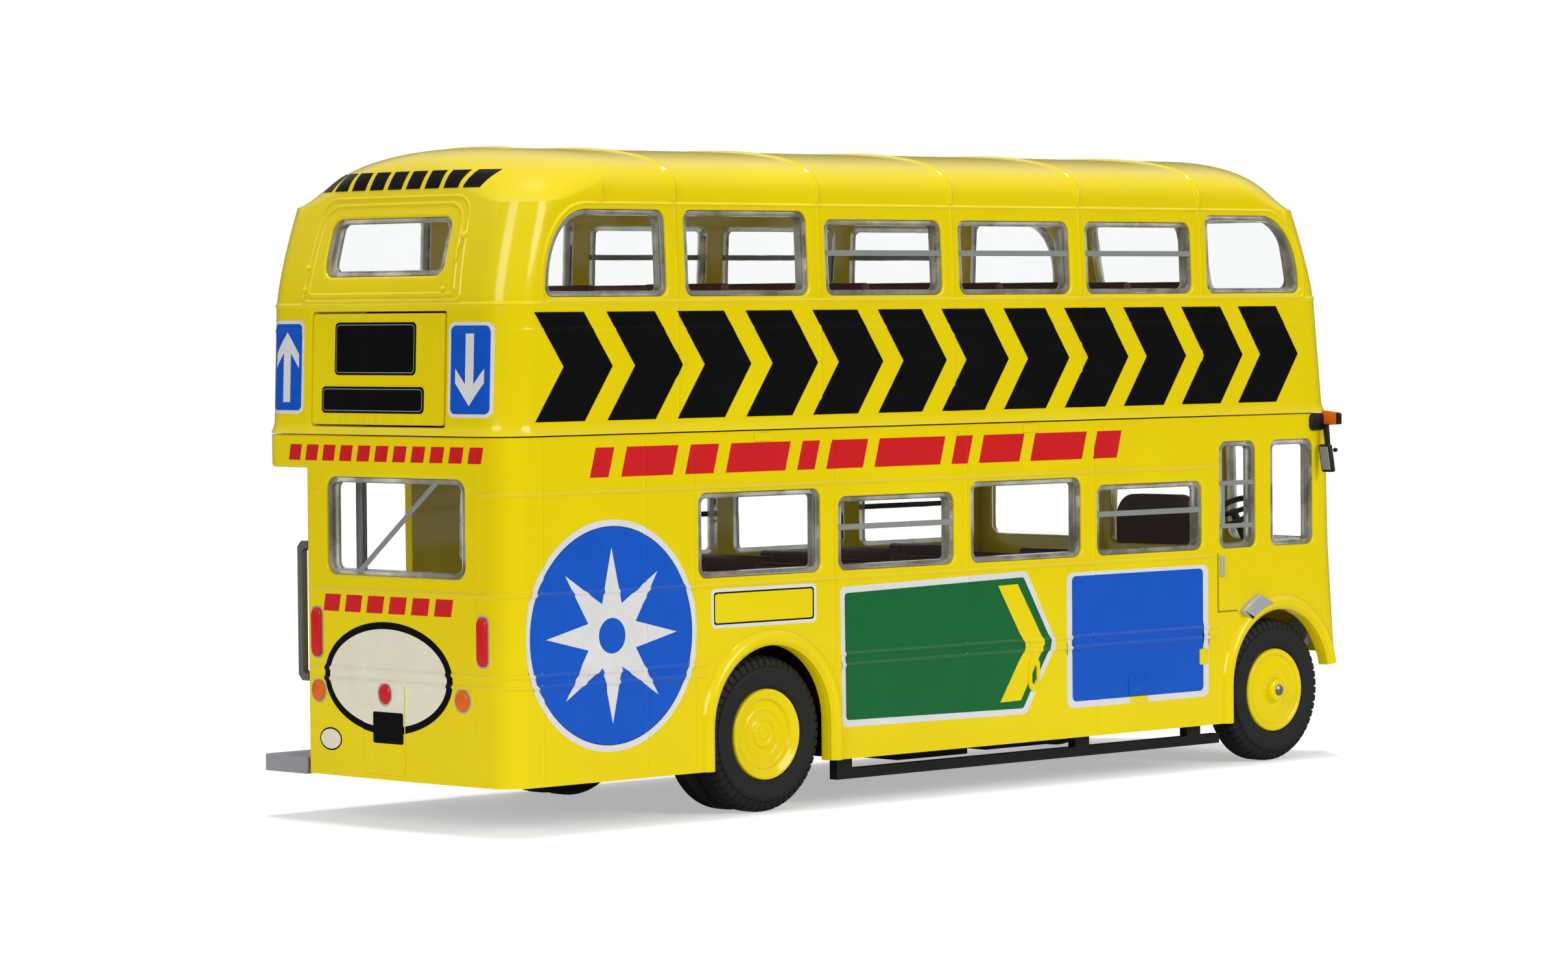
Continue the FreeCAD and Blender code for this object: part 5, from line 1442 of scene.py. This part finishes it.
def indicator_and_mirror(wall, side):
    """Indicator ear with its bracket, and the mirror that hangs below it on an arm."""
    slab("indicator_bracket_" + wall, panel(71.9, 73.9, 31.5, LOWER_TOP, 0.5), "xz",
         min(side * 15.9, side * 16.4), 0.5, BASE, replaces=["indicator_ear_" + wall],
         slot="black_plastic")
    for name, finish, slot, corners in (
            ("indicator_lens_", AMBER, "amber_plastic",
             [(16.1, 31.95), (17.95, 32.05), (17.95, 33.22), (16.1, 33.4)]),
            ("indicator_tip_", BASE, "black_plastic",
             [(17.9, 32.03), (18.28, 32.08), (18.28, 33.12), (17.9, 33.24)])):
        slab(name + wall, handed(rounded_corners(corners, 0.14, 4), side), "yz", 73.66, 0.45,
             finish, soft=0.04, slot=slot)
    arm = [(16.75, 30.0), (17.3, 30.0), (17.1, 32.1), (16.4, 32.1)]
    slab("mirror_arm_" + wall, handed(arm, side), "yz", 73.35, 0.35, BASE,
         slot="black_plastic")
    frame_ring = rounded_corners([(16.66, 27.5), (18.1, 27.5), (17.66, 30.15), (16.22, 30.15)],
                                 0.25, 4)
    slab("mirror_frame_" + wall, handed(frame_ring, side), "yz", 72.95, 0.5, BASE,
         replaces=["mirror_" + wall], slot="black_plastic")
    # The mirror's face is flat grey: print, and a painted reflection.
    slab("mirror_glass_" + wall, handed(outward(frame_ring, -0.22), side), "yz", 72.86, 0.2,
         MIRROR, soft=0.05, slot="steel")
    slab("mirror_knob_" + wall, handed(disc(17.9, 29.62, 0.2, count=16), side), "yz", 73.4,
         0.35, BASE, soft=0.08, slot="black_plastic")


def headlamp_glasses():
    """Shallow domes of glass in the headlamps: rings of one radius and one depth each."""
    rings = np.array([(0.0, 78.4), (1.1, 78.4), (1.1, 78.6), (1.0, 78.68), (0.75, 78.77),
                      (0.4, 78.84), (0.0, 78.87)])
    turn = np.linspace(0, 2 * np.pi, 40, endpoint=False)
    for wall, side in SIGNED:
        points = np.stack([rings[:, 1, None] + 0 * turn,
                           side * LAMP_Y + rings[:, :1] * np.cos(turn),
                           LAMP_Z + rings[:, :1] * np.sin(turn)], -1)
        piece("headlamp_glass_" + wall, points.reshape(-1, 3), grid(len(rings), 40, ring=True),
              LENS, slot="silver_paint")


# Finishes of the pieces whose CAD shape stays

FINISHES = {
    "upper_floor": MAROON, "saloon_floor": MAROON, "staircase": SILVER,
    "driver_seat": MAROON, "steering_wheel": BASE, "rear_platform": TREAD,
    "platform_pole": POLE, "platform_handrail": POLE, "base_plate": BASE,
    "guard_rail_offside": BASE, "guard_rail_nearside": BASE, "radiator_grille": SILVER,
    "headlamp_offside": SILVER, "headlamp_nearside": SILVER, "rear_axle": STEEL,
}


# Camera, lamps, floor and background

def camera():
    """The photograph's viewpoint, measured from the bus."""
    data = bpy.data.cameras.new("view")
    data.lens, data.sensor_width = 118.80, 36.0
    data.clip_start, data.clip_end = 0.01, 50.0
    made = in_scene("view", data)
    right = Vector((0.7162956, -0.69774831, -0.00824106))
    up = Vector((0.03015649, 0.01915469, 0.99936164))
    back = Vector((-0.69714503, -0.71608687, 0.03476206))
    turn = Matrix((right, up, back)).transposed().to_4x4()
    made.matrix_world = Matrix.Translation((-0.334005, -0.33624, 0.04345)) @ turn
    bpy.context.scene.camera = made


def lamp(name, place, size, power):
    """A soft square lamp aimed at the bus; places in metres."""
    data = bpy.data.lights.new(name, "AREA")
    data.shape = "RECTANGLE"
    data.size = data.size_y = size
    data.energy = power
    made = in_scene(name, data)
    made.location = place
    made.rotation_mode = "QUATERNION"
    made.rotation_quaternion = (Vector((0.0, 0.0, 0.03)) - Vector(place)).to_track_quat("-Z", "Y")


def background():
    """White for the camera and through glass; a dim light, brighter above in mirrorings."""
    world = bpy.data.worlds.new("studio")
    world.use_nodes = True
    bpy.context.scene.world = world
    sky = Nodes(world.node_tree)
    seen, mirror = sky.rays()
    split = sky.node("SeparateXYZ", Vector=sky.node("TexCoord").outputs["Generated"])
    high = ((Value(sky, split.outputs["Z"]) - 0.12) / 0.4).clamped()
    level = 0.3 * (1 - mirror) + (0.1 + 0.6 * high) * mirror
    sky.set(sky.tree.nodes["Background"],
            {"Color": (1, 1, 1), "Strength": sky.math("MAXIMUM", level, seen)})


def floor():
    """White ground that keeps the shadow near the bus and fades into the background."""
    f = Finish("studio_floor", Roughness=0.9, Specular_IOR_Level=0.1)
    f.done(Base_Color=f.blend(f.noise(300.0, 2.0), (0.86, 0.86, 0.86), (0.89, 0.89, 0.89)))
    along, across, _ = f.axes()
    reach = f.math("SQRT", (along - 20.0) ** 2 + across ** 2)
    fade = ((reach - 110.0) / 260.0).clamped()
    seen, mirror = f.rays()
    near = f.node("Emission", Color=(1, 1, 1), Strength=0.42 * seen + 0.15 * mirror)
    far = f.node("Emission", Color=(1, 1, 1), Strength=seen + 0.12 * mirror)
    total = f.node("AddShader", i0=f.shader.outputs[0], i1=near.outputs[0])
    chosen = f.node("MixShader", i0=f.math("MAXIMUM", fade, 0.8 * mirror),
                    i1=total.outputs[0], i2=far.outputs[0])
    f.tree.links.new(chosen.outputs[0], f.output.inputs["Surface"])
    size = 6.0
    mesh = bpy.data.meshes.new("floor")
    mesh.from_pydata([(-size, -size, 0), (size, -size, 0), (size, size, 0), (-size, size, 0)],
                     [], [(0, 1, 2, 3)])
    mesh.materials.append(f.material)
    in_scene("floor", mesh)


# The whole scene

upper_casting()
lower_casting()
half_cab()
benches("lower_bench_moulding", "lower_seats", 11.0, 5, 9.5, 20.95)
benches("upper_bench_moulding", "upper_seats", -19.5, 10, 32.5, 45.8, 2)
casting_seams()
for wall in SIDES:
    side_decoration(wall)
rear_decoration()
wheels()
glazing()
rear_fittings()
glass_rails()
silver_rims()
arch_lips()
cab_fittings()
headlamp_glasses()

for name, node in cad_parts.items():
    if name in FINISHES:
        node.data.materials.clear()
        node.data.materials.append(FINISHES[name])

bpy.context.scene.view_settings.view_transform = "Standard"
camera()
background()
floor()
lamp("overhead", (0.0, 0.05, 1.6), 0.22, 11.5)
lamp("left_rear", (-1.1, -0.35, 0.5), 0.5, 4.6)
lamp("right_side", (0.25, -1.1, 0.5), 0.5, 5.4)
